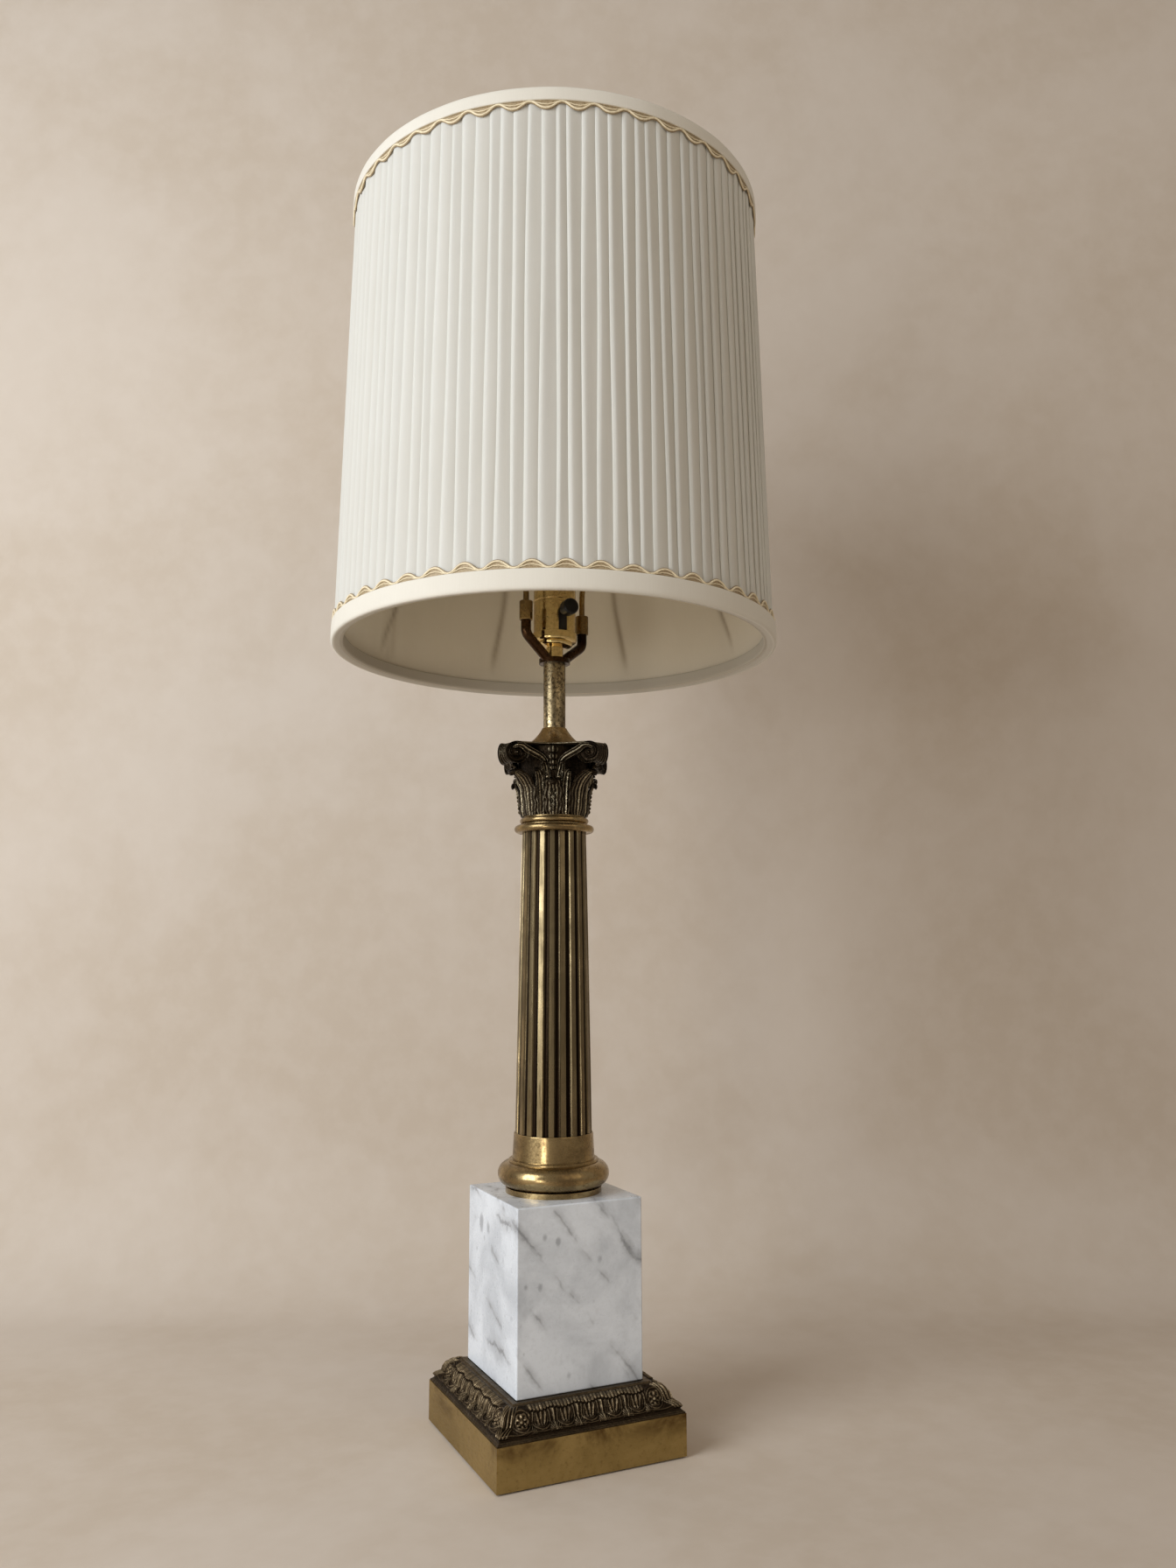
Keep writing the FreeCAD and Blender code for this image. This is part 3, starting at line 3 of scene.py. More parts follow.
import bpy
import numpy as np
from mathutils import Euler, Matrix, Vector


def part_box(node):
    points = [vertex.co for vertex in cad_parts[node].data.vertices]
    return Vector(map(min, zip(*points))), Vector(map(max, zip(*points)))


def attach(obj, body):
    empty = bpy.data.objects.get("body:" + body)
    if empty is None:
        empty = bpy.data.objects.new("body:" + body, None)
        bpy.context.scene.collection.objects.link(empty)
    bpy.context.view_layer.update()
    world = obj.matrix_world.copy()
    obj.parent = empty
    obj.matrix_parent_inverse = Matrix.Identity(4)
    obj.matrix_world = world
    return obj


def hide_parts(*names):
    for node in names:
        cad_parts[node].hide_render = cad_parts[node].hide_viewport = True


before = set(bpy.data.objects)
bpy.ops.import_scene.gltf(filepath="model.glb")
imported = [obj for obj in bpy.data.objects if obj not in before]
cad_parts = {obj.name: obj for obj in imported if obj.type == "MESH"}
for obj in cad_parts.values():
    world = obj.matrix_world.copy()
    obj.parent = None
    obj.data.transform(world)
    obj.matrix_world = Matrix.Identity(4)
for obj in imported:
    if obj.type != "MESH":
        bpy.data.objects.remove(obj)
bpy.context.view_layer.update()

# The looks of a column table lamp, built round its CAD frame. Mesh code is in millimetres; materials, lights
# and the camera are in metres. +Z runs up the column, and the base's sides face along X and Y.

MM = 0.001
TAU = 2 * math.pi
scene = bpy.context.scene


# -------------------- sizes

def extent(node):
    """A CAD node's lowest and highest corners, in millimetres, to the nearest micrometre."""
    return [np.round(np.array(corner) / MM, 3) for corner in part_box(node)]


lower_tape, upper_tape = extent("bottom_binding"), extent("top_binding")
SHADE_BOTTOM, SHADE_TOP = lower_tape[0][2], upper_tape[1][2]
LOWER_TAPE = lower_tape[1][2] - lower_tape[0][2]    # how far each tape reaches from its edge
UPPER_TAPE = upper_tape[1][2] - upper_tape[0][2]
CLOTH_EDGE = extent("shade_cover")[0][2] - SHADE_BOTTOM     # how far the cloth's edge lies inside the tape
CREST_BOTTOM, CREST_TOP = 175.8, 166.3      # radius of the pleats' crests at the shade's edges
PLEATS = 108
PLEAT_RADIUS = 171.0        # where a width along a fold becomes an angle
LOWER_SCALLOPS, UPPER_SCALLOPS = 47, 45     # waves of the braid round each tape
RIBS, FIRST_RIB = 9, math.radians(44.7)
LINING_INSET, LINING_BOW = 6.15, 5.2        # inside the crests at a rib, and further in between ribs
LINING_RADIUS, LINING_MAP_RADIUS = 168.0, 170.0     # for its flat size, and for the threads on it

SHAFT_LOW, SHAFT_HIGH = (corner[2] * MM for corner in extent("column_shaft"))   # in metres, for a material
SHAFT_RADIUS_LOW, SHAFT_RADIUS_HIGH = 0.02975, 0.02529

moulding_box = extent("base_moulding")
MOULDING_Z = moulding_box[0][2]
MOULDING_TALL = moulding_box[1][2] - MOULDING_Z
MOULDING_FOOT = moulding_box[1][0]          # half of its width at the foot
MARBLE_STRIP = 3.6          # flat strip that shows round the marble
MOULDING_HEAD = extent("marble_block")[1][0] + MARBLE_STRIP
EGG_PITCH, EGG_RADIUS = 18.5, 6.9
TIP_PITCH = 2.64            # spacing of the leaf tips over the eggs
ROSETTE_PLACE = 51.5        # from the middle of a side
CARVED_FROM, CARVED_TO = 0.19, 0.925        # shares of the height

capital_box = extent("capital")
CAPITAL_Z = capital_box[0][2]
CAPITAL_TALL = capital_box[1][2] - CAPITAL_Z
CAPITAL_YAW = -25.3         # degrees, the capital is turned on the square base
BELL_RADIUS, BELL_TALL = 24.5, 53.8         # at its foot, and up to the underside of the abacus
ABACUS_WAIST = 31.0         # from the axis to the middle of a hollow side
SPIRAL_RADIUS, SPIRAL_REACH = 8.65, 55.6    # reach is from the axis to the corner's tip
SPIRAL_X = SPIRAL_REACH - SPIRAL_RADIUS     # the eye's place
SPIRAL_Z = CAPITAL_TALL - 0.1 - SPIRAL_RADIUS
SPIRAL_TIP = 4.2            # half of the roll's width at the tip
SPIRAL_SLANT = math.radians(25)
SPIRAL_FLARE = math.tan(SPIRAL_SLANT)       # how fast the roll widens towards the bell

felt_box = extent("felt_pad")
FELT_HALF, FELT_THICK = felt_box[1][0], felt_box[1][2]


# -------------------- mesh code

class Mesh:
    """Gathers grids of points, in millimetres, into one object."""

    def __init__(self):
        self.points, self.faces, self.relief, self.cloth = [], [], [], []

    def grid(self, pts, relief=0.5, wrap=False, wrap_rows=False, caps=False, cloth=None, flip=False):
        """pts has shape (rows, columns, 3). relief, 0 to 1, says how far each point stands out; on cloth it
        also carries painted shade, and on the braid painted highlights.
        """
        rows, cols = pts.shape[:2]
        base = len(self.points)
        self.points += pts.reshape(-1, 3).tolist()
        self.relief += np.broadcast_to(relief, (rows, cols)).ravel().tolist()
        flat = np.zeros((rows, cols, 2)) if cloth is None else cloth
        self.cloth += flat.reshape(-1, 2).tolist()
        for r in range(rows if wrap_rows else rows - 1):
            for c in range(cols if wrap else cols - 1):
                a = base + r * cols + c
                b = base + r * cols + (c + 1) % cols
                d = base + ((r + 1) % rows) * cols + c
                e = base + ((r + 1) % rows) * cols + (c + 1) % cols
                self.faces.append((a, d, e, b) if flip else (a, b, e, d))
        if caps:
            first = list(range(base, base + cols))
            final = list(range(base + (rows - 1) * cols, base + rows * cols))
            self.faces.append(first if flip else first[::-1])
            self.faces.append(final[::-1] if flip else final)

    def around(self, other, count, start=0.0):
        """Copies another Mesh round the vertical axis, the first at start degrees."""
        src = np.array(other.points)
        for k in range(count):
            turn = math.radians(start) + k * TAU / count
            c, s = math.cos(turn), math.sin(turn)
            base = len(self.points)
            moved = np.column_stack([src[:, 0] * c - src[:, 1] * s, src[:, 0] * s + src[:, 1] * c, src[:, 2]])
            self.points += moved.tolist()
            self.relief += other.relief
            self.cloth += other.cloth
            self.faces += [tuple(i + base for i in f) for f in other.faces]

    def finish(self, name, material, body, node, lift=0.0, sharp=None):
        """Makes the object, which rides on a body in place of a CAD node."""
        me = bpy.data.meshes.new(name)
        pts = np.array(self.points) + (0, 0, lift)
        me.from_pydata((pts * MM).tolist(), [], self.faces)
        me.polygons.foreach_set("use_smooth", [True] * len(me.polygons))
        me.attributes.new("relief", "FLOAT", "POINT").data.foreach_set("value", self.relief)
        uv = me.uv_layers.new(name="cloth")
        corner = np.zeros(len(me.loops), np.int32)
        me.loops.foreach_get("vertex_index", corner)
        uv.data.foreach_set("uv", np.array(self.cloth)[corner].ravel())
        me.validate()
        me.materials.append(material)
        ob = bpy.data.objects.new(name, me)
        scene.collection.objects.link(ob)
        if sharp:
            me.set_sharp_from_angle(angle=math.radians(sharp))
        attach(ob, body)
        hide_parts(node)
        return ob


def smooth(x, low, high):
    """0 below low, 1 above high, and an even slope between."""
    t = np.clip((x - low) / (high - low), 0, 1)
    return t * t * (3 - 2 * t)


def ridge(x, at, width):
    """A rounded ridge, 1 high."""
    return np.exp(-((x - at) / width) ** 2)


def wave(x):
    """A cosine between 0 and 1."""
    return 0.5 + 0.5 * np.cos(x)


def ring_points(radius, angle, z):
    """Points from arrays of radius, angle in radians and height that broadcast together."""
    radius, angle, z = np.broadcast_arrays(radius, angle, z)
    return np.stack([radius * np.cos(angle), radius * np.sin(angle), z], -1)


def distance_along(line):
    """How far each point lies from the line's start, along it."""
    return np.concatenate([[0], np.cumsum(np.linalg.norm(np.diff(line, axis=0), axis=1))])


def headings(line):
    """Unit vector along the line at each of its points."""
    step = np.gradient(line, axis=0)
    return step / np.linalg.norm(step, axis=1)[:, None]


def curve_through(points, count):
    """A smooth line through points, sampled evenly."""
    pts = np.array(points, float)
    ext = np.vstack([2 * pts[0] - pts[1], pts, 2 * pts[-1] - pts[-2]])
    out = []
    for i in range(1, len(ext) - 2):
        p0, p1, p2, p3 = ext[i - 1:i + 3]
        for t in np.linspace(0, 1, 16, endpoint=False):
            out.append(0.5 * (2 * p1 + (p2 - p0) * t + (2 * p0 - 5 * p1 + 4 * p2 - p3) * t ** 2
                              + (3 * p1 - p0 - 3 * p2 + p3) * t ** 3))
    out = np.array(out + [pts[-1]])
    run = distance_along(out)
    at = np.linspace(0, run[-1], count)
    return np.column_stack([np.interp(at, run, out[:, k]) for k in range(out.shape[1])])


def ring_cord(mesh, line, radius, relief, sides=8):
    """A round cord along a closed, nearly level line; radius may vary along it."""
    ahead = np.roll(line, -1, 0) - np.roll(line, 1, 0)
    ahead /= np.linalg.norm(ahead, axis=1)[:, None]
    side = np.cross(ahead, (0, 0, 1.0))
    side /= np.linalg.norm(side, axis=1)[:, None]
    over = np.cross(side, ahead)
    turn = np.linspace(0, TAU, sides, endpoint=False)
    size = np.broadcast_to(radius, len(line))[:, None, None]
    pts = line[:, None] + size * (np.cos(turn)[None, :, None] * side[:, None]
                                  + np.sin(turn)[None, :, None] * over[:, None])
    mesh.grid(pts, relief, wrap=True, wrap_rows=True, flip=True)


# -------------------- materials

def rgb(r, g, b):
    """A colour given as it shows on screen, 0 to 255."""
    shown = (r / 255, g / 255, b / 255)
    return tuple(c / 12.92 if c <= 0.04045 else ((c + 0.055) / 1.055) ** 2.4 for c in shown)


class Nodes:
    """Short calls for a material's node tree."""

    def __init__(self, name):
        self.material = bpy.data.materials.new(name)
        self.material.use_nodes = True
        self.tree = self.material.node_tree
        self.shader = self.tree.nodes["Principled BSDF"]
        self.output = self.tree.nodes["Material Output"]
        self.coords = self.tree.nodes.new("ShaderNodeTexCoord").outputs["Object"]

    def new(self, kind, inputs=(), **settings):
        """Adds a shader node. inputs are linked or set, by name or number."""
        node = self.tree.nodes.new("ShaderNode" + kind)
        for key, value in settings.items():
            setattr(node, key, value)
        for key, value in dict(inputs).items():
            self.put(node.inputs[key], value)
        return node

    def put(self, socket, value):
        """Links an output to the socket, or sets its value."""
        if isinstance(value, bpy.types.NodeSocket):
            self.tree.links.new(value, socket)
        elif isinstance(value, tuple) and len(value) == 3 and socket.type == "RGBA":
            socket.default_value = (*value, 1)
        else:
            socket.default_value = value

    def set(self, **values):
        """Sets or links the shader's own sockets."""
        for key, value in values.items():
            self.put(self.shader.inputs[key.replace("_", " ")], value)

    def math(self, what, a, b=0.0, clamp=False):
        """The result of one operation on two values."""
        return self.new("Math", {0: a, 1: b}, operation=what, use_clamp=clamp).outputs[0]

    def mix(self, factor, a, b):
        """Colour a where factor is 0 and b where it is 1."""
        return self.new("Mix", {0: factor, 6: a, 7: b}, data_type="RGBA").outputs[2]

    def noise(self, scale, detail=3.0, rough=0.55, distort=0.0, vector=None):
        """Cloudy values from 0 to 1, on the object's own coordinates unless a vector is given."""
        inputs = {"Scale": scale, "Detail": detail, "Roughness": rough, "Distortion": distort}
        return self.new("TexNoise", {**inputs, "Vector": vector or self.coords}).outputs[0]

    def spread(self, value, low, high, a=0.0, b=1.0, soft=True):
        """value between low and high, mapped to a and b."""
        inputs = {"Value": value, "From Min": low, "From Max": high, "To Min": a, "To Max": b}
        return self.new("MapRange", inputs, interpolation_type="SMOOTHSTEP" if soft else "LINEAR").outputs[0]

    def scaled(self, vector, size, turn=(0, 0, 0), shift=(0, 0, 0)):
        """Coordinates that are stretched, turned and moved."""
        inputs = {"Vector": vector, "Scale": size, "Rotation": turn, "Location": shift}
        return self.new("Mapping", inputs).outputs[0]

    def bump(self, height, distance, strength=1.0, normal=None):
        """A normal raised by height, over another normal where one is given."""
        node = self.new("Bump", {"Height": height, "Distance": distance, "Strength": strength})
        if normal:
            self.put(node.inputs["Normal"], normal)
        return node.outputs[0]

    def attribute(self, name):
        """A number that the mesh carries for each of its points."""
        return self.new("Attribute", attribute_name=name, attribute_type="GEOMETRY").outputs["Fac"]

    def axis_distance(self):
        """Distance from the lamp's axis, and height, in metres."""
        x, y, z = self.new("SeparateXYZ", {"Vector": self.coords}).outputs
        square = self.math("ADD", self.math("MULTIPLY", x, x), self.math("MULTIPLY", y, y))
        return self.math("SQRT", square), z


def metal(name, bright, dark, rough=0.32, worn=0.5, mask=None, lumps=0.0, spots=0.0, stretch=(1, 1, 1)):
    """Antiqued metal: dark in the hollows and patches, bright where it is rubbed."""
    n = Nodes(name)
    patch = n.noise(26, 5, 0.6, 0.4)
    fine = n.noise(420, 3, 0.6, vector=n.scaled(n.coords, stretch))
    blotch = n.spread(patch, 0.36, 0.66)
    if mask:
        shown = n.math("MULTIPLY", mask(n), n.spread(blotch, 0, 1, 1 - worn * 0.5, 1.0, soft=False))
    else:
        shown = n.spread(blotch, 0, 1, 1 - worn, 1.0, soft=False)
    colour = n.mix(shown, dark, bright)
    colour = n.mix(n.spread(fine, 0.42, 0.72, 0, 0.35), colour, dark)
    if spots:
        worn_through = n.spread(n.noise(430, 5, 0.72), 0.46, 0.58)
        colour = n.mix(n.math("MULTIPLY", worn_through, spots), colour, dark)
    n.set(Base_Color=colour, Metallic=1.0)
    gloss = n.spread(fine, 0.3, 0.7, rough - 0.05, rough + 0.1)
    n.set(Roughness=n.math("ADD", gloss, n.spread(blotch, 0, 1, 0.12, 0.0)))
    surface = n.bump(fine, 0.00005, 0.5)
    if lumps:
        surface = n.bump(n.noise(300, 4, 0.6), 0.0022 * lumps, 0.7, surface)
    n.set(Normal=n.bump(patch, 0.0004, 0.3, surface))
    return n.material


def threads(n, where, weave):
    """Crossing threads, weave metres apart, on the cloth's own map, which is in millimetres."""
    inputs = {"Scale": MM / weave / 2, "Distortion": 1.2, "Detail": 2.0, "Detail Scale": 1.5, "Vector": where}
    warp, weft = (n.new("TexWave", inputs, bands_direction=axis).outputs[1] for axis in "XY")
    return n.math("MULTIPLY", n.math("ADD", warp, weft), 0.5)


def fabric(name, colour, dark_tone_and_shade, weave=0.00035, through=0.25, sheen=0.15):
    """Woven cloth with a little light through it, painted warm and dark where its relief is low: painted
    shade in pleat valleys, lining folds and the tape's underside.
    """
    n = Nodes(name)
    where = n.new("UVMap", uv_map="cloth").outputs[0]
    weaving = threads(n, where, weave)
    slub = n.noise(1.0, 4, 0.6, vector=n.scaled(where, (1.4, 0.05, 1)))
    cloud = n.noise(9, 4, 0.6)
    tone = n.math("ADD", n.spread(slub, 0.3, 0.75, 0, 0.35), n.spread(cloud, 0.3, 0.7, 0, 0.4))
    tint = n.mix(n.math("MULTIPLY", tone, 0.36), colour, dark_tone_and_shade)
    tint = n.mix(n.spread(weaving, 0.15, 0.6, 0.22, 0.0), tint, dark_tone_and_shade)
    # Painted shade: a warm dark colour mixed in where the relief is low; the darker tone above it is the
    # cloth's own random tone and weave.
    painted_shade = (dark_tone_and_shade[0] * 0.5, dark_tone_and_shade[1] * 0.45, dark_tone_and_shade[2] * 0.38)
    tint = n.mix(n.spread(n.attribute("relief"), 0.05, 0.5, 0.85, 0.0, soft=False), tint, painted_shade)
    n.set(Base_Color=tint, Roughness=0.85, Sheen_Weight=sheen, Sheen_Roughness=0.5, Specular_IOR_Level=0.2)
    n.set(Normal=n.bump(slub, 0.0002, 0.25, n.bump(weaving, 0.00006, 0.55)))
    if through:
        glow = n.new("BsdfTranslucent", {"Color": colour})
        both = n.new("MixShader", {0: through, 1: n.shader.outputs[0], 2: glow.outputs[0]})
        n.put(n.output.inputs["Surface"], both.outputs[0])
    return n.material


def plain(name, colour, rough=0.5, metallic=0.0, vary=0.15, **more):
    """Even material with slight mottling and fine roughness."""
    n = Nodes(name)
    cloud = n.noise(60, 4)
    darker = tuple(c * (1 - vary * 2) for c in colour)
    n.set(Base_Color=n.mix(n.spread(cloud, 0.35, 0.7), colour, darker), Metallic=metallic,
          Roughness=n.spread(cloud, 0.3, 0.7, rough - 0.06, rough + 0.08),
          Normal=n.bump(n.noise(900, 2), 0.00004, 0.4), **more)
    return n.material


def relief_mask(low, high):
    """1 where a casting stands out and 0 in its hollows."""
    return lambda n: n.spread(n.attribute("relief"), low, high)


def fillet_mask(n):
    """1 on the shaft's flat fillets, 0 in the bottoms of its flutes."""
    radius, z = n.axis_distance()
    outer = n.spread(z, SHAFT_LOW, SHAFT_HIGH, SHAFT_RADIUS_LOW, SHAFT_RADIUS_HIGH, soft=False)
    return n.spread(n.math("SUBTRACT", radius, outer), -0.0013, -0.0001)


def marble_vein(n, stone, drift, rate, turn, width, dark, runs):
    """Thin slanting veins, broken into short runs, each with a soft halo."""
    slant = n.scaled(n.coords, (1, 1, 1), turn, (0.011, 0.004, 0.0))
    along = n.new("SeparateXYZ", {"Vector": slant}).outputs[0]
    bend = n.math("ADD", n.math("MULTIPLY", along, rate), n.math("MULTIPLY", drift, 0.42))
    fold = n.math("ABSOLUTE", n.math("SUBTRACT", n.math("FRACT", bend), 0.5))
    broken = n.spread(n.noise(runs, 3), 0.46, 0.64)
    halo = n.math("MULTIPLY", n.spread(fold, 0.0, width * 4, 0.5, 0.0), broken)
    core = n.math("MULTIPLY", n.spread(fold, 0.0, width, 1.0, 0.0), broken)
    stone = n.mix(halo, stone, rgb(160, 164, 170))
    return n.mix(n.math("MULTIPLY", core, dark), stone, rgb(96, 99, 105))


def marble_spots(n, stone, rough_edge, rate, share, depth):
    """Blurred grey spots in some of the cells, share saying from which value on a cell has one."""
    cells = n.new("TexVoronoi", {"Scale": rate, "Vector": n.scaled(n.coords, (1, 1, 0.66), (0.2, 0.3, 0))})
    pick = n.new("SeparateColor", {"Color": cells.outputs["Color"]}).outputs[0]
    size = n.spread(pick, share, 1.0, 0.0, 0.3, soft=False)
    spot = n.math("SUBTRACT", n.math("SUBTRACT", size, cells.outputs["Distance"]), rough_edge)
    return n.mix(n.spread(spot, -0.16, 0.05, 0, depth), stone, rgb(112, 116, 123))


def marble():
    """White stone: soft clouds, steep thin grey veins in short runs, and a few blurred spots."""
    n = Nodes("marble_stone")
    cloud = n.noise(16, 6, 0.62, 0.6)
    grain = n.noise(220, 3, 0.6)
    stone = n.mix(n.spread(cloud, 0.36, 0.68), rgb(225, 232, 241), rgb(193, 200, 209))
    drift = n.noise(24, 6, 0.66)
    stone = marble_vein(n, stone, drift, rate=17, turn=(0.3, 0.62, 0.25), width=0.028, dark=0.6, runs=17)
    stone = marble_vein(n, stone, drift, rate=37, turn=(0.42, 0.56, 0.5), width=0.05, dark=0.4, runs=36)
    rough_edge = n.math("MULTIPLY", n.noise(150, 3), 0.25)
    stone = marble_spots(n, stone, rough_edge, rate=58, share=0.55, depth=0.55)
    stone = marble_spots(n, stone, rough_edge, rate=105, share=0.72, depth=0.5)
    stone = n.mix(n.spread(grain, 0.45, 0.75, 0, 0.12), stone, rgb(150, 153, 158))
    n.set(Base_Color=stone, Roughness=n.spread(grain, 0.3, 0.7, 0.26, 0.4),
          Normal=n.bump(grain, 0.00005, 0.3), Coat_Weight=0.1, Subsurface_Weight=0.12)
    n.shader.inputs["Subsurface Radius"].default_value = (0.004, 0.004, 0.004)
    return n.material


def stained_brass():
    """The plinth: brushed along its length, tarnished under its top edge."""
    n = Nodes("plinth_aged")
    height = n.new("SeparateXYZ", {"Vector": n.coords}).outputs[2]
    streak = n.noise(1.0, 4, 0.6, vector=n.scaled(n.coords, (140, 140, 1500)))
    patch = n.noise(17, 5, 0.65, 0.8)
    fine = n.noise(300, 4, 0.65)
    near_top = n.spread(height, 0.014, 0.030)
    stain = n.math("MULTIPLY", n.spread(patch, 0.45, 0.72), n.math("ADD", near_top, 0.12), clamp=True)
    colour = n.mix(n.spread(patch, 0.3, 0.7), rgb(170, 146, 94), rgb(150, 128, 78))
    colour = n.mix(stain, colour, rgb(92, 68, 36))
    colour = n.mix(n.spread(fine, 0.5, 0.75, 0, 0.4), colour, rgb(96, 74, 44))
    n.set(Base_Color=colour, Metallic=0.9)
    n.set(Roughness=n.math("ADD", n.spread(streak, 0.3, 0.7, 0.34, 0.5), n.math("MULTIPLY", stain, 0.12)))
    n.set(Normal=n.bump(fine, 0.00004, 0.4, n.bump(streak, 0.00004, 0.35)))
    return n.material


def braid():
    """Gold trim: a dark net that shows between pale twisted threads, with painted glints on the net."""
    n = Nodes("gold_braid")
    inputs = {"Scale": 160.0, "Distortion": 2.0, "Vector": n.coords}
    twist = n.new("TexWave", inputs, bands_direction="DIAGONAL").outputs[1]
    net = n.new("TexVoronoi", {"Scale": 900.0, "Vector": n.coords}).outputs["Distance"]
    shown = n.attribute("relief")
    colour = n.mix(shown, rgb(126, 100, 60), rgb(238, 224, 190))
    colour = n.mix(n.spread(twist, 0.2, 0.8, 0.3, 0), colour, rgb(128, 102, 66))
    # Painted highlights: pale specks on the net, stronger where the relief is high.
    painted_glint = n.math("MULTIPLY", n.spread(net, 0.2, 0.5), n.math("ADD", n.math("MULTIPLY", shown, 0.5), 0.16))
    colour = n.mix(painted_glint, colour, rgb(240, 228, 198))
    n.set(Base_Color=colour, Roughness=0.55, Sheen_Weight=0.2)
    n.set(Normal=n.bump(twist, 0.0002, 0.6, n.bump(net, 0.0002, 0.5)))
    return n.material


M = {
    # cloth
    "pleats": fabric("pleated_cloth", rgb(238, 239, 236), rgb(216, 214, 204), through=0.3),
    "lining": fabric("lining_cloth", rgb(244, 236, 218), rgb(222, 210, 186), 0.00025, 0.3, sheen=0.3),
    "binding": fabric("binding_tape", rgb(236, 233, 224), rgb(212, 206, 190), 0.0003, 0.1, sheen=0.2),
    "felt": fabric("felt_cloth", rgb(58, 62, 54), rgb(36, 40, 34), 0.0006, through=0, sheen=0.4),
    "gimp": braid(),
    # stone and antiqued castings
    "marble": marble(),
    "plinth": stained_brass(),
    "moulding": metal("moulding_antiqued", rgb(142, 126, 100), rgb(48, 39, 29), 0.36, 0.8,
                      relief_mask(0.3, 1.0), lumps=0.8),
    "capital": metal("capital_antiqued", rgb(172, 160, 134), rgb(38, 31, 23), 0.2, 0.7,
                     relief_mask(0.45, 1.1), lumps=1.0),
    "shaft": metal("shaft_antiqued", rgb(150, 134, 102), rgb(30, 22, 15), 0.2, 0.85,
                   fillet_mask, stretch=(1, 1, 0.08)),
    # turned brass and wire
    "bright": metal("bright_brass", rgb(180, 157, 113), rgb(76, 58, 37), 0.18, 0.65),
    "vase": metal("vase_brass", rgb(196, 170, 126), rgb(112, 88, 56), 0.22, 0.6),
    "stem": metal("stem_worn", rgb(194, 176, 138), rgb(54, 42, 29), 0.24, 0.6, spots=0.75),
    "saddle": metal("saddle_bronze", rgb(76, 54, 36), rgb(22, 16, 12), 0.2, 0.8),
    "harp": metal("harp_wire", rgb(178, 152, 104), rgb(72, 54, 33), 0.18, 0.6),
    "socket": metal("socket_brass", rgb(232, 208, 148), rgb(150, 118, 68), 0.12, 0.5),
    "screw": metal("screw_brass", rgb(210, 178, 112), rgb(120, 94, 56), 0.26, 0.4),
    "wire": metal("shade_wire", rgb(176, 160, 128), rgb(110, 94, 68), 0.35, 0.4),
    # fittings and bulb
    "zinc": plain("zinc_steel", rgb(170, 170, 166), 0.35, 1.0),
    "knob": plain("knob_black", rgb(9, 8, 9), 0.36, 0.0, 0.1, Coat_Weight=0.1, Specular_IOR_Level=0.3),
    "phenolic": plain("black_moulding", rgb(30, 26, 23), 0.4),
    "bushing": plain("black_bushing", rgb(26, 26, 26), 0.5),
    "paper": plain("fibre_sleeve", rgb(150, 126, 92), 0.8),
    "cap_metal": plain("bulb_metal", rgb(196, 196, 192), 0.25, 1.0),
    "black_glass": plain("black_glass", rgb(12, 12, 16), 0.12),
    "bulb": plain("frosted_glass", rgb(246, 244, 238), 0.35, 0.0, 0.02, Transmission_Weight=0.35,
                  Coat_Weight=0.5),
}

# Material of each CAD node that shows its own shape.
CARRIED = {
    "zinc": ["threaded_rod", "base_washer", "lock_washer", "rod_nut"],
    "bright": ["column_foot", "foot_collar", "astragal_ring", "finial"],
    "harp": ["ferrule_left", "ferrule_right", "harp_bow"],
    "screw": ["harp_stud", "socket_set_screw", "terminal_screws", "centre_contact", "switch_shaft",
              "bulb_contact"],
    "socket": ["socket_cap", "socket_shell"],
    "cap_metal": ["screw_shell", "bulb_base"],
    "wire": ["spider_hub", "spider_arms", "shade_top_ring", "shade_bottom_ring", "shade_ribs"],
    "marble": ["marble_block"], "plinth": ["base_plinth"], "bushing": ["cord_bushing"],
    "shaft": ["column_shaft"], "vase": ["vase_cap"], "stem": ["stem_tube"], "saddle": ["harp_saddle"],
    "paper": ["socket_liner"], "phenolic": ["socket_body"], "knob": ["switch_knob"],
    "bulb": ["bulb_glass"], "black_glass": ["bulb_insulator"],
}
for key, nodes in CARRIED.items():
    for node in nodes:
        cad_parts[node].data.materials.clear()
        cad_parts[node].data.materials.append(M[key])


# -------------------- shade

def crest(z):
    """Radius of the pleats' crests at a height."""
    return CREST_BOTTOM + (z - SHADE_BOTTOM) / (SHADE_TOP - SHADE_BOTTOM) * (CREST_TOP - CREST_BOTTOM)


def clear_of_edges(z, low, below, high, above):
    """0 at the shade's two edges and 1 between, over slopes given by their distances from the edges."""
    return (smooth(z, SHADE_BOTTOM + low, SHADE_BOTTOM + below)
            * smooth(-z, high - SHADE_TOP, above - SHADE_TOP))


def pleat_angle(i):
    """Where fold i starts: slightly uneven, as hand-laid pleats are."""
    wander = math.sin(2.4 * i) + math.sin(5.1 * i + 1.0)
    return (i + 0.06 * wander) * TAU / PLEATS


def pleat_sway(i, up):
    """How far a fold strays sideways, in radians, at each height."""
    return (0.0034 * np.sin(1.7 * i + 3.6 * up) + 0.0018 * np.sin(3.3 * i + 9 * up)
            + 0.003 * np.sin(0.9 * i) * up ** 6)


# One pleat: across its face as (share of the pitch, depth), and then back under it and out again as
# (millimetres past the next fold, depth).
PLEAT_FACE = [(0.0, 0.0), (0.04, 0.09), (0.09, 0.1), (0.15, 0.02), (0.23, -0.18), (0.36, -0.56),
              (0.51, -1.0), (0.66, -1.42), (0.81, -1.8)]
PLEAT_TUCK = [(-1.2, -2.0), (0.6, -2.3), (2.6, -2.4), (2.95, -2.2), (2.6, -2.0), (0.4, -1.9),
              (-1.1, -1.76), (-1.6, -1.54), (-1.74, -1.24), (-1.56, -0.84), (-1.16, -0.48), (-0.64, -0.2)]


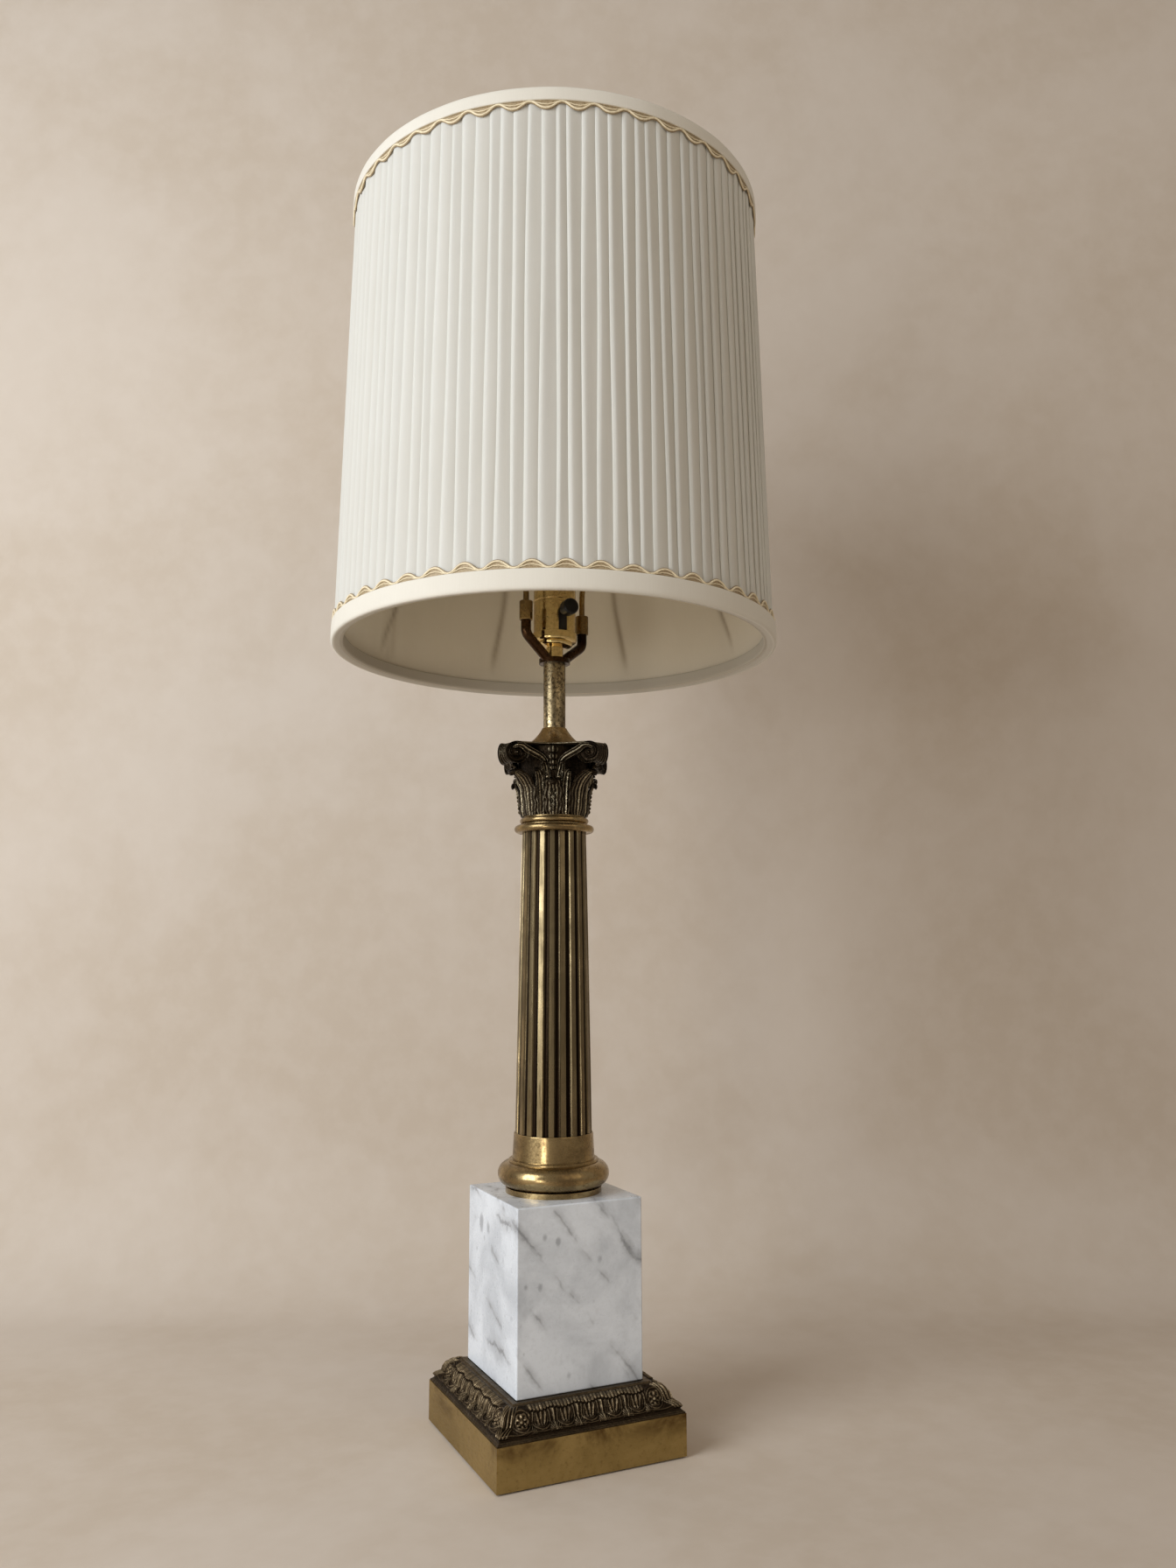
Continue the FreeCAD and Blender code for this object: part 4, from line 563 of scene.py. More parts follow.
def pleat_columns(z):
    """(angle, radius, depth) down the cloth, column after column, round the whole shade."""
    up = (z - SHADE_BOTTOM) / (SHADE_TOP - SHADE_BOTTOM)
    held = 0.62 + 0.38 * clear_of_edges(z, 12, 45, 10, 38)
    columns = []
    for i in range(PLEATS):
        here = pleat_angle(i) + pleat_sway(i, up)
        after = pleat_angle(i + 1) + pleat_sway(i + 1, up)
        deep = held * (0.92 + 0.16 * math.sin(4.7 * i))
        puff = 0.3 * np.sin(2.1 * i + 5 * up) * held
        for share, depth in PLEAT_FACE:
            radius = crest(z) + depth * deep + puff * math.sin(math.pi * share)
            columns.append((here + share * (after - here), radius, depth))
        for past, depth in PLEAT_TUCK:
            columns.append((after + past / PLEAT_RADIUS, crest(z) + depth * deep, depth))
    columns.append((after, crest(z), 0.0))      # the last fold meets the first
    return columns


def pleated_cover():
    """Knife pleats: each face slopes in under the next fold, turns back, and comes out over it."""
    z = np.concatenate([np.linspace(SHADE_BOTTOM + CLOTH_EDGE, SHADE_BOTTOM + 30, 7)[:-1],
                        np.linspace(SHADE_BOTTOM + 30, SHADE_TOP - 26, 22),
                        np.linspace(SHADE_TOP - 26, SHADE_TOP - CLOTH_EDGE, 6)[1:]])
    columns = pleat_columns(z)
    pts = np.stack([ring_points(radius, angle, z) for angle, radius, depth in columns], 1)
    depths = np.array([depth for angle, radius, depth in columns])[None, :]
    width = distance_along(pts[len(z) // 2])
    cloth = np.stack(np.broadcast_arrays(width[None, :], (z - SHADE_BOTTOM)[:, None]), -1)
    mesh = Mesh()
    # Painted shade: relief falls with each fold's depth, so the valleys and tucks are painted warm and dark.
    mesh.grid(pts, 0.5 + 0.05 * depths, cloth=cloth)
    ob = mesh.finish("pleated_cover", M["pleats"], "shade", "shade_cover")


def binding(name, edge, way, tall, node):
    """Tape folded over the shade's edge: a full outer roll, a stitched line, and an inner leg, with painted
    shade on the underside and the inner leg.
    """
    short = tall * 0.75         # the inner leg's height
    # Points are (inset from the crests, height from the edge).
    outer_leg = [(-0.9, tall - 0.9), (-1.4, tall - 0.1), (-1.95, tall - 0.3), (-2.2, tall - 1.2),
                 (-2.3, tall * 0.7), (-2.3, tall * 0.35), (-2.2, 2.9), (-1.9, 1.4)]
    underside = [(-1.3, 0.45), (-0.5, 0.05), (0.6, 0.12), (2.2, 0.45), (4.2, 0.9), (5.4, 1.25), (5.9, 1.6),
                 (6.4, 1.45), (7.1, 1.7), (7.6, 2.3)]
    inner_leg = [(7.8, 3.4), (7.8, short - 1.4), (7.65, short - 0.4), (7.4, short - 0.3), (7.2, short - 1.0)]
    shape = outer_leg + underside + inner_leg
    line = curve_through([(inset, edge + way * rise) for inset, rise in shape], 64)[::way]
    inset, z = line[:, :1], line[:, 1:]
    turn = np.linspace(0, TAU, 361)[None, :]
    radius = crest(z) - inset + 0.12 * np.sin(7 * turn) * np.sin(23 * turn)
    across = distance_along(line)
    cloth = np.stack(np.broadcast_arrays(turn * radius.mean(), across[:, None]), -1)
    # Painted shade: the underside and the inner leg get lower relief, which the cloth material paints darker.
    painted_underside_shade = 0.2 * smooth(inset, -0.3, 1.6) + 0.12 * smooth(inset, 4.0, 6.5)
    mesh = Mesh()
    mesh.grid(ring_points(radius, turn, z), 0.5 - painted_underside_shade, cloth=cloth)
    ob = mesh.finish(name, M["binding"], "shade", node)


def gimp(name, edge, way, waves, node):
    """Braid along a binding: a net strip, a waving cord on its free edge with a dark cord beside it as
    painted shade, a smaller echo inside it, and a straight cord on the tape.
    """
    turn = np.linspace(0, TAU, waves * 18, endpoint=False)
    beat = 0.5 - 0.5 * np.cos(waves * turn + 0.25 * np.sin(waves * turn))
    uneven = 1 + 0.1 * np.sin(5 * turn) + 0.08 * np.sin(13 * turn + 1)
    height = 0.5 + 5.0 * beat ** 1.2 * uneven
    knots = 0.35 * np.sin(waves * 6 * turn)
    mesh = Mesh()
    share = np.linspace(0, 1, 9)[:, None]
    z = edge + way * (-2.0 + (height + 2.0) * share)
    loops = 0.22 * np.sin(waves * 9 * turn)[None, :] * np.sin(share * 5 * math.pi)
    strip = ring_points(crest(z) + 0.45 + 0.3 * share + loops, turn[None, :], z)
    mesh.grid(strip, 0.12 + 0.9 * np.abs(loops), wrap=True, flip=way < 0)
    cords = [(height, 1.15 + 0.12 * knots, 0.66, 1.0),      # scalloped edge
             (height + 0.95, 0.6, 0.4, 0.0),                # dark cord outside it, painted shade beside the scalloped edge
             (height * 0.5 + 0.4 * knots, 1.0, 0.4, 0.9),   # echo
             (np.full_like(turn, -0.35), 0.9, 0.4, 0.5)]    # straight cord on the tape
    for rise, out, thick, tone in cords:
        top = edge + way * rise
        ring_cord(mesh, ring_points(crest(top) + out, turn, top), thick, tone)
    mesh.finish(name, M["gimp"], "shade", node)


def lining():
    """Thin lining, caught at the two rings and bowed in between the ribs, folded sharply at each rib, with a
    painted shade line along each rib.
    """
    turn = FIRST_RIB + np.linspace(0, TAU, RIBS * 64 + 1)[None, :]
    z = np.linspace(SHADE_BOTTOM + CLOTH_EDGE, SHADE_TOP - CLOTH_EDGE, 56)[:, None]
    free = clear_of_edges(z, 8, 70, 10, 70)
    place = (turn - FIRST_RIB) / TAU * RIBS
    down = np.cos(np.clip((z - SHADE_BOTTOM) / 110, 0, 1) * math.pi)
    lean = -0.17 * np.sin((np.round(place) - 0.5) * TAU / RIBS) * down
    share = (place + lean * clear_of_edges(z, 2, 20, 0, 200)) % 1.0
    off = np.minimum(share, 1 - share)
    bow = np.clip(2 * off, 0, 1) ** 0.55
    fold = 0.35 * np.sin(turn * 31 + z * 0.02) * free + 0.5 * np.sin(turn * 13 + z * 0.05) * free
    radius = crest(z) - LINING_INSET - LINING_BOW * bow * free - np.abs(fold) * np.clip(off * 8, 0, 1)
    cloth = np.stack(np.broadcast_arrays(turn * LINING_MAP_RADIUS, z - SHADE_BOTTOM), -1)
    # Painted shade: a dark line along each rib, absent near the lower edge.
    rib_fold_shade = ridge(off, 0, 0.022) * smooth(z, SHADE_BOTTOM + 14, SHADE_BOTTOM + 40)
    mesh = Mesh()
    mesh.grid(ring_points(radius, turn, z), 0.5 - 0.42 * rib_fold_shade, cloth=cloth)
    ob = mesh.finish("lining_cloth", M["lining"], "shade", "shade_lining")


pleated_cover()
binding("binding_lower", SHADE_BOTTOM, 1, LOWER_TAPE, "bottom_binding")
binding("binding_upper", SHADE_TOP, -1, UPPER_TAPE, "top_binding")
gimp("gimp_lower", SHADE_BOTTOM + LOWER_TAPE, 1, LOWER_SCALLOPS, "bottom_gimp")
gimp("gimp_upper", SHADE_TOP - UPPER_TAPE, -1, UPPER_SCALLOPS, "top_gimp")
lining()


# -------------------- moulding

# Its profile as (share of the way out from head to foot, share of its height), from the foot up.
MOULDING_PROFILE = [
    (1.0, 0.0), (1.0, 0.05), (0.965, 0.065), (0.93, 0.09), (0.905, 0.12), (0.89, 0.16), (0.875, 0.215),
    (0.835, 0.28), (0.77, 0.33), (0.69, 0.365), (0.645, 0.38), (0.61, 0.4), (0.585, 0.43), (0.575, 0.47),
    (0.55, 0.57), (0.515, 0.665), (0.463, 0.76), (0.39, 0.835), (0.3, 0.885), (0.18, 0.917), (0.12, 0.93),
    (0.053, 0.94), (0.02, 0.965), (0.0, 1.0), (-0.19, 1.0)]


# In the carving, y runs along a side, depth up its slope from the sill, and deep is the slope's whole depth.

def eggs(across, depth, deep, wobble):
    """Eggs with a double rim and veined middles, and how far each point lies from its egg's middle."""
    middle = 0.43 * deep
    above = np.abs(across) * (1 + 0.02 * (depth - middle))
    below = np.hypot(across, (depth - middle) * EGG_RADIUS / (middle - 1.6))
    dist = np.where(depth < middle, below, above) + 0.25 * wobble
    rims = ridge(dist, 6.6, 0.62) + 0.8 * ridge(dist, 4.9, 0.45)
    veins = wave(np.arctan2(across, depth + 1.5) * 26 + wobble)
    return rims + smooth(-dist, -4.5, -3.7) * (0.3 + 0.85 * veins * smooth(depth, 2.0, 5.0)), dist


def darts(across, depth, dist, wobble):
    """A spray of thin leaves and a stalk between two eggs."""
    gap = np.abs(np.abs(across) - EGG_PITCH / 2)
    spray = wave(np.arctan2(gap, np.abs(depth - 0.1) + 2.0) * 26 + 0.8 * wobble)
    leaves = 0.15 + 0.95 * spray * smooth(-gap, -4.6, -3.6) + 0.6 * ridge(gap, 0, 0.45)
    return smooth(dist, 7.1, 7.6) * leaves


def leaf_tips(y, depth, deep, wobble):
    """A row of leaf tips hanging over the eggs, and 1 where they cover what lies under them."""
    lobe = y * math.pi / TIP_PITCH
    hem = 0.76 * deep - 1.2 * np.abs(np.sin(lobe)) - 0.8 * np.cos(y * TAU / EGG_PITCH)
    tips = smooth(depth - hem, 0.0, 0.8) * (0.3 + 0.85 * np.abs(np.sin(lobe + 0.3 * wobble)) ** 0.6)
    return tips, smooth(depth - hem, -1.0, -0.3)


def sill(y, depth):
    """A bead that waves along the foot of the carving."""
    return 0.95 * ridge(depth, 0.75 + 0.9 * np.sin(math.pi * y / EGG_PITCH) ** 2, 0.5)


def rosette(y, depth, deep):
    """A six-petalled flower in two rings, near each end of a side."""
    across, up = np.abs(y) - ROSETTE_PLACE, depth - 0.45 * deep
    ray = np.hypot(across, up * 0.85)
    petals = 0.5 + 0.5 * np.cos(np.arctan2(up, across) * 6) * np.cos(ray * 1.1)
    return (1.7 * ridge(ray, 0, 1.5) + smooth(ray, 1.4, 2.3) * smooth(-ray, -5.8, -4.6) * (0.2 + 1.2 * petals)
            + 0.95 * ridge(ray, 6.5, 0.6) + 0.6 * ridge(ray, 8.0, 0.5))


def mitre_leaf(mitre, v):
    """A long veined leaf that runs down each corner."""
    curl = mitre - 2.2 * np.sin(v * 3.1)
    return smooth(-mitre, -7.5, -5.5) * (0.35 + 0.95 * wave(curl * TAU / 2.3))


def carving(y, half, depth, deep):
    """Height of the carved pattern over a side: eggs and darts along it, rosettes and leaves at its ends."""
    across = y - EGG_PITCH * np.round(y / EGG_PITCH)
    wobble = 0.5 * np.sin(y * 1.7) * np.sin(depth * 1.1)
    egg, dist = eggs(across, depth, deep, wobble)
    tips, covered = leaf_tips(y, depth, deep, wobble)
    bead = sill(y, depth)
    middle = np.maximum(np.maximum(egg, darts(across, depth, dist, wobble)) * (1 - covered), bead) + tips
    mitre = half - np.abs(y)
    flower = rosette(y, depth, deep) * smooth(mitre, 3.0, 5.0)
    end = np.maximum(np.maximum(flower, mitre_leaf(mitre, depth / deep)), bead)
    at_end = smooth(np.abs(y), 44.5, 46.5)
    return ((1 - at_end) * middle + at_end * end) * (1 + 0.16 * np.sin(y * 0.9) * np.sin(depth / deep * 5))


def moulding():
    """Four mitred sides swept from the profile, with the carving raised on them."""
    span = MOULDING_FOOT - MOULDING_HEAD
    keys = [(MOULDING_HEAD + out * span, up * MOULDING_TALL) for out, up in MOULDING_PROFILE]
    line = curve_through(keys, 130)
    ahead = headings(line)
    out_x, out_z = ahead[:, 1:], -ahead[:, :1]
    half, height = line[:, :1], line[:, 1:]
    run = distance_along(line)
    start, stop = (run[np.argmax(line[:, 1] > share * MOULDING_TALL)] for share in (CARVED_FROM, CARVED_TO))
    deep = stop - start
    along = np.linspace(-1, 1, 441)[None, :]
    y = along * half
    depth = np.broadcast_to((run - start)[:, None], y.shape)
    band = smooth(depth / deep, -0.02, 0.03) * smooth(-depth / deep, -1.02, -0.96)
    carved = band * carving(y, half, depth, deep)
    trench = ridge(depth, -0.9, 0.7)
    amount = 1.25 * carved - 0.35 * band - 0.45 * trench
    into_mitre = smooth(np.abs(along), 0.93, 1.0) * np.sign(along)
    pts = np.stack([half + amount * out_x, y + amount * out_x * into_mitre, height + amount * out_z], -1)
    flat = np.where(depth < 0, 0.52 - 0.5 * trench, 0.6)
    relief = np.where((depth > -0.2) & (band > 0.02), np.clip(carved / 1.35, 0, 1), flat)
    side = Mesh()
    side.grid(pts, relief)
    mesh = Mesh()
    mesh.around(side, 4)
    mesh.finish("moulding_carved", M["moulding"], "lamp_body", "base_moulding",
                lift=MOULDING_Z)


moulding()


# -------------------- capital

# Each corner or face is made on the +X side and then copied round.

def bell_radius(z):
    """The bell's flare, steeper towards the abacus."""
    return BELL_RADIUS + 4.34 * (z / BELL_TALL) + 2.16 * (z / BELL_TALL) ** 2


def bell(mesh):
    """The bell, ribbed low down between the leaves."""
    z = np.linspace(0, BELL_TALL, 60)[:, None]
    turn = np.linspace(0, TAU, 720, endpoint=False)[None, :]
    ribs = wave(turn * 40) * smooth(-z, -34, -22)
    radius = bell_radius(z) - 0.3 + 0.85 * ribs
    mesh.grid(ring_points(radius, turn, z), np.clip(0.12 + 0.7 * ribs, 0, 1), wrap=True)


def abacus(mesh):
    """Top slab: four hollow sides, cut corners and a grooved edge."""
    half = SPIRAL_TIP + SPIRAL_RADIUS * SPIRAL_FLARE
    cut = math.atan2(half, SPIRAL_X)
    flat = math.hypot(SPIRAL_X, half) * math.cos(math.pi / 4 - cut)
    hollow = flat - ABACUS_WAIST
    rim = []
    for k in range(4):
        for s in np.linspace(0, 1, 40, endpoint=False):
            a = -math.pi / 4 + cut + s * (math.pi / 2 - 2 * cut)
            rim.append(((flat - hollow * (1 - (2 * s - 1) ** 2)) / math.cos(a), a + k * math.pi / 2))
    radius, angle = np.array(rim).T
    edge = [(-0.7, 53.2), (-0.2, 53.7), (-0.5, 54.1), (0.0, 54.5), (0.0, 55.0), (-0.4, 55.35)]
    rows = ([ring_points(20.0, angle, edge[0][1])] + [ring_points(radius + out, angle, h) for out, h in edge]
            + [ring_points(6.0, angle, edge[-1][1])])
    mesh.grid(np.stack(rows), np.array([0.1, 0.1, 0.5, 0.2, 0.9, 0.9, 0.5, 0.5])[:, None], wrap=True)


def acanthus(mesh, keys, width, lobes, veins=5):
    """A lobed leaf along +X: keys are (radius, height) pairs up its middle, out and over to its tip."""
    line = curve_through(keys, 46)
    ahead = headings(line)
    out = np.column_stack([ahead[:, 1], -ahead[:, 0]])
    t = np.linspace(0, 1, len(line))
    body = width / 2 * (0.86 + 0.2 * np.sin(math.pi * np.clip(t * 1.15, 0, 1)))
    body = body * (1 - 0.55 * smooth(t, 0.72, 1.0))
    bite = 0.2 * np.abs(np.sin(math.pi * lobes * t)) ** 0.6 - 0.1
    half = (body * (1 + bite * smooth(-t, -0.97, -0.85)))[:, None]

    def sheet(u, height):
        """Points across the leaf at shares u of its half width, raised by height."""
        return np.stack([line[:, :1] + out[:, :1] * height, half * u + 0 * height,
                         line[:, 1:] + out[:, 1:] * height], -1)

    u = np.linspace(-1, 1, 33)[None, :]
    frill = np.sin(TAU * lobes * t)[:, None]
    vein = wave(u * math.pi * veins + 0.9 * np.abs(u) * frill)
    rib = ridge(u, 0, 0.12)
    crown = (1 - u ** 2) ** 0.35
    ripple = 0.35 * frill * np.abs(u) * smooth(t, 0.05, 0.2)[:, None]
    height = crown * (0.9 + 0.75 * vein * smooth(t, 0.02, 0.1)[:, None] + 0.6 * rib + ripple)
    back_u = u[:, ::-4][:, 1:-1]
    back = sheet(back_u, -np.sqrt(1 - back_u ** 2) + 0 * half)
    proud = np.clip(0.15 + 0.8 * vein * crown + 0.4 * rib, 0, 1)
    relief = np.concatenate([proud, np.full(back.shape[:2], 0.1)], 1)
    mesh.grid(np.concatenate([sheet(u, height), back], 1), relief, wrap=True, caps=True, flip=True)


def spiral_roll(mesh):
    """The waisted, beaded roll between a corner's two spirals."""
    turn = np.linspace(0, TAU, 73)[:, None]
    across = np.linspace(-1, 1, 41)[None, :]
    beads = wave(across * math.pi * 5)
    radius = SPIRAL_RADIUS * (1 - 0.13 * (1 - across ** 2)) * (1 - 0.045 * (1 - beads))
    x = SPIRAL_X + radius * np.cos(turn)
    z = SPIRAL_Z + radius * np.sin(turn)
    y = across * (SPIRAL_TIP + (SPIRAL_REACH - x) * SPIRAL_FLARE)
    mesh.grid(np.stack([x, y, z], -1), 0.15 + 0.6 * beads, flip=True)


def spiral_face(mesh, side):
    """A slanted, coiled face with a rim and an eye, on one side of a roll."""
    normal = np.array([SPIRAL_FLARE, 1.0]) / math.hypot(SPIRAL_FLARE, 1)
    rho = np.linspace(0, 1, 60)[:, None]
    phi = np.linspace(0, TAU, 97)[None, :]
    coil = (rho * 2.0 - phi / TAU) % 1.0
    bands = ridge(coil, 0.5, 0.13) + 0.7 * ridge(coil, 0.2, 0.09)
    bands = bands * smooth(rho, 0.2, 0.32) * smooth(-rho, -0.99, -0.9)
    lift = 1.15 * np.maximum(bands, ridge(rho, 0.94, 0.05)) + 1.7 * ridge(rho, 0, 0.15)
    lift = lift - 0.9 * smooth(-rho, -0.99, -0.93) + 0.1
    x = SPIRAL_X - SPIRAL_RADIUS * rho * np.sin(phi)
    z = SPIRAL_Z + SPIRAL_RADIUS * rho * np.cos(phi)
    y = SPIRAL_TIP + (SPIRAL_REACH - x) * SPIRAL_FLARE
    pts = np.stack([x + lift * normal[0], (y + lift * normal[1]) * side, z + 0 * lift], -1)
    mesh.grid(pts, np.clip(lift * 0.92, 0, 1), flip=side < 0)


def scroll_band(mesh, side):
    """Double-ridged band from the middle of a face up into the spiral."""
    wedge = math.pi / 4 - SPIRAL_SLANT      # between this face and the spiral's, seen from above
    corner = np.array([SPIRAL_REACH + SPIRAL_TIP, SPIRAL_REACH - SPIRAL_TIP]) / math.sqrt(2)

    def on_spiral(back, z, lean=0.0):
        """A point on the spiral's face, so far back from the corner."""
        return (corner[0] - math.sin(wedge) * back + lean, corner[1] - math.cos(wedge) * back, z)

    up_the_bell = [(28.4, 3.2, 25.5), (29.2, 4.9, 34.0), (30.9, 7.9, 42.4)]
    over_the_spiral = [on_spiral(18.0, 48.9, -0.4), on_spiral(14.0, 51.5), on_spiral(9.9, 52.1),
                       on_spiral(6.0, 50.6, -0.6)]
    line = curve_through(up_the_bell + over_the_spiral, 54)
    ahead = headings(line)
    face = np.array([math.cos(wedge), -math.sin(wedge) * 0.4, 0.25])
    width = np.cross(ahead, np.broadcast_to(face, ahead.shape))
    width /= np.linalg.norm(width, axis=1)[:, None]
    out = np.cross(width, ahead)
    t = np.linspace(0, 1, len(line))[:, None]
    half = (1.7 + 1.7 * smooth(t, 0.0, 0.6)) * (1 - 0.5 * smooth(t, 0.72, 1.0))
    thick = 1.8 - 1.3 * smooth(t, 0.78, 1.0)
    q = np.linspace(0, TAU, 30, endpoint=False)[None, :]
    grooves = 0.75 + 0.4 * np.cos(np.cos(q) * 7.0)
    rise = np.sin(q) * np.where(np.sin(q) > 0, grooves, 0.8)
    pts = (line[:, None] + (half * np.cos(q))[..., None] * width[:, None]
           + (thick * rise)[..., None] * out[:, None])
    pts[..., 1] *= side
    relief = np.clip(0.2 + 0.75 * (rise > 0.55) * grooves, 0, 1)
    mesh.grid(pts, relief, wrap=True, caps=True, flip=side < 0)


def bud(mesh, centre, size, petals=5, lobed=0.25):
    """A ball with petals."""
    phi = np.linspace(0, TAU, 25)[None, :]
    theta = np.linspace(0.02, math.pi - 0.02, 14)[:, None]
    petal = np.cos(petals * phi) * np.sin(theta) ** 2
    bulge = 1 + lobed * petal
    x = centre[0] + size[0] * bulge * np.sin(theta) * np.cos(phi)
    y = centre[1] + size[1] * bulge * np.sin(theta) * np.sin(phi)
    z = centre[2] + size[2] * np.cos(theta) + 0 * phi
    mesh.grid(np.stack([x, y, z], -1), 0.5 + 0.5 * petal, flip=True)


def capital_corner():
    """A spiral pair over a tall leaf."""
    part = Mesh()
    spiral_roll(part)
    for side in (-1, 1):
        spiral_face(part, side)
    middle = [(25.2, 0), (26.4, 11), (27.6, 20), (31.0, 26.6), (36.5, 31.3), (41.4, 33.9), (44.6, 33.6),
              (45.9, 31.4), (44.6, 29.9)]
    acanthus(part, middle, width=15.5, lobes=4)
    return part


def capital_face():
    """Bands to both spirals, a middle leaf between side leaves, and buds up the middle."""
    part = Mesh()
    for side in (-1, 1):
        scroll_band(part, side)
    middle = [(25.2, 0), (26.2, 9), (27.0, 16.5), (28.9, 22.6), (31.0, 26.2), (32.9, 26.2), (33.6, 24.2),
              (32.7, 22.6)]
    acanthus(part, middle, width=13.5, lobes=3)
    for number, (height, size) in enumerate(((50.0, 3.3), (44.6, 2.8), (39.9, 2.4), (35.8, 1.9))):
        bud(part, (bell_radius(height) + 0.6, 0, height), (size * 0.9, size, size * 1.05), 5 + number % 2)
    stalk_leaf, small_leaf = Mesh(), Mesh()
    stalk = [(25.0, 0), (25.6, 11), (26.6, 21), (28.2, 28.6), (31.0, 33.6), (33.6, 34.9), (34.6, 33.4)]
    small = [(27.6, 24), (28.4, 30), (30.0, 36.2), (32.6, 39.9), (34.6, 39.8), (34.8, 38.2)]
    acanthus(stalk_leaf, stalk, width=8.0, lobes=4, veins=3)
    acanthus(small_leaf, small, width=5.5, lobes=3, veins=3)
    for side in (-1, 1):
        part.around(stalk_leaf, 1, side * 22)
        part.around(small_leaf, 1, side * 13)
        bud(part, (29.2, side * 4.6, 28.6), (1.7, 2.3, 1.6), 3, 0.35)
    for number in range(6):
        sway = 1.1 * math.sin(number * 2.4)
        bud(part, (26.7 + 0.33 * number, sway, 4.0 + 3.0 * number), (1.6, 2.3 - 0.15 * number, 1.9),
            5 + number % 3, 0.4)
    return part


def capital():
    """Bell and abacus, with four corners and four faces round them."""
    whole = Mesh()
    bell(whole)
    abacus(whole)
    whole.around(capital_corner(), 4, 45)
    whole.around(capital_face(), 4)
    turned = Mesh()
    turned.around(whole, 1, CAPITAL_YAW)
    turned.finish("capital_carved", M["capital"], "lamp_body", "capital",
                  lift=CAPITAL_Z, sharp=50)


capital()


# -------------------- felt under the base

def felt():
    """A square of felt with a soft lower edge."""
    top, edge_rise = FELT_THICK - 0.05, 0.25
    side = np.linspace(-FELT_HALF, FELT_HALF, 60)
    x, y = np.meshgrid(side, side, indexing="ij")
    rounding = edge_rise * smooth(np.maximum(np.abs(x), np.abs(y)), FELT_HALF - FELT_THICK, FELT_HALF) ** 2
    cloth = np.stack([x, y], -1)
    mesh = Mesh()
    mesh.grid(np.stack([x, y, rounding], -1), cloth=cloth, flip=True)
    mesh.grid(np.stack([x, y, np.full_like(x, top)], -1), cloth=cloth)
    corners = np.array([(-1, -1), (1, -1), (1, 1), (-1, 1)])
    share = np.linspace(0, 1, 30, endpoint=False)[:, None]
    walk = np.concatenate([a + (b - a) * share for a, b in zip(corners, np.roll(corners, -1, 0))])
    edge = ((edge_rise, 0.0), (FELT_THICK / 2, 0.12), (top, 0.0))       # height, and how far out
    rows = [np.column_stack([walk * (FELT_HALF + out), np.full(len(walk), height)]) for height, out in edge]
    mesh.grid(np.stack(rows), wrap=True)
    ob = mesh.finish("felt_sheet", M["felt"], "lamp_body", "felt_pad")


felt()


# -------------------- stage, light and camera

LOOK = Vector((0.42396, 0.89607, 0.13153)).normalized()     # the camera's line of sight
LEFT_PAN, ROLL = 0.04, -0.1     # degrees
CAMERA_PLACE, LENS = (-0.3865, -0.8815, 0.3647), 27.89
AHEAD = Vector((LOOK.x, LOOK.y, 0)).normalized()    # level, away from the camera
RIGHT = Vector((AHEAD.y, -AHEAD.x, 0))
WALL, WALL_BEND = 0.42, 0.16    # how far the wall is behind the lamp, and the radius of its foot
STAGE_REACH = 2.6


def from_lamp(right, ahead, up):
    """A place given from the lamp's foot, as the camera sees it."""
    return RIGHT * right + AHEAD * ahead + Vector((0, 0, up))


def stage_material():
    """Painted backdrop: faint mottling, and clear when seen from behind."""
    n = Nodes("backdrop_paint")
    cloud = n.noise(3.2, 6, 0.62, 0.3)
    fine = n.noise(38, 5, 0.6)
    paint = n.mix(n.spread(cloud, 0.35, 0.65), rgb(207, 197, 186), rgb(199, 187, 173))
    paint = n.mix(n.spread(fine, 0.35, 0.7, 0, 0.3), paint, rgb(212, 203, 193))
    n.set(Base_Color=paint, Roughness=0.9, Specular_IOR_Level=0.1)
    clear = n.new("BsdfTransparent").outputs[0]
    rear = n.new("NewGeometry").outputs["Backfacing"]
    both = n.new("MixShader", {0: rear, 1: n.shader.outputs[0], 2: clear})
    n.put(n.output.inputs["Surface"], both.outputs[0])
    return n.material


def make_stage():
    """Floor that curves up into a wall close behind the lamp."""
    start = WALL - WALL_BEND
    path = [(-STAGE_REACH, 0.0), (start, 0.0)]
    path += [(start + WALL_BEND * math.sin(a), WALL_BEND - WALL_BEND * math.cos(a))
             for a in np.linspace(0, math.pi / 2, 13)[1:]]
    path += [(WALL, STAGE_REACH)]
    verts = [from_lamp(side, ahead, up) for ahead, up in path for side in (-STAGE_REACH, STAGE_REACH)]
    faces = [(a, a + 1, a + 3, a + 2) for a in range(0, len(verts) - 2, 2)]
    me = bpy.data.meshes.new("backdrop")
    me.from_pydata(verts, [], faces)
    me.polygons.foreach_set("use_smooth", [True] * len(me.polygons))
    me.materials.append(stage_material())
    ob = bpy.data.objects.new("backdrop", me)
    scene.collection.objects.link(ob)


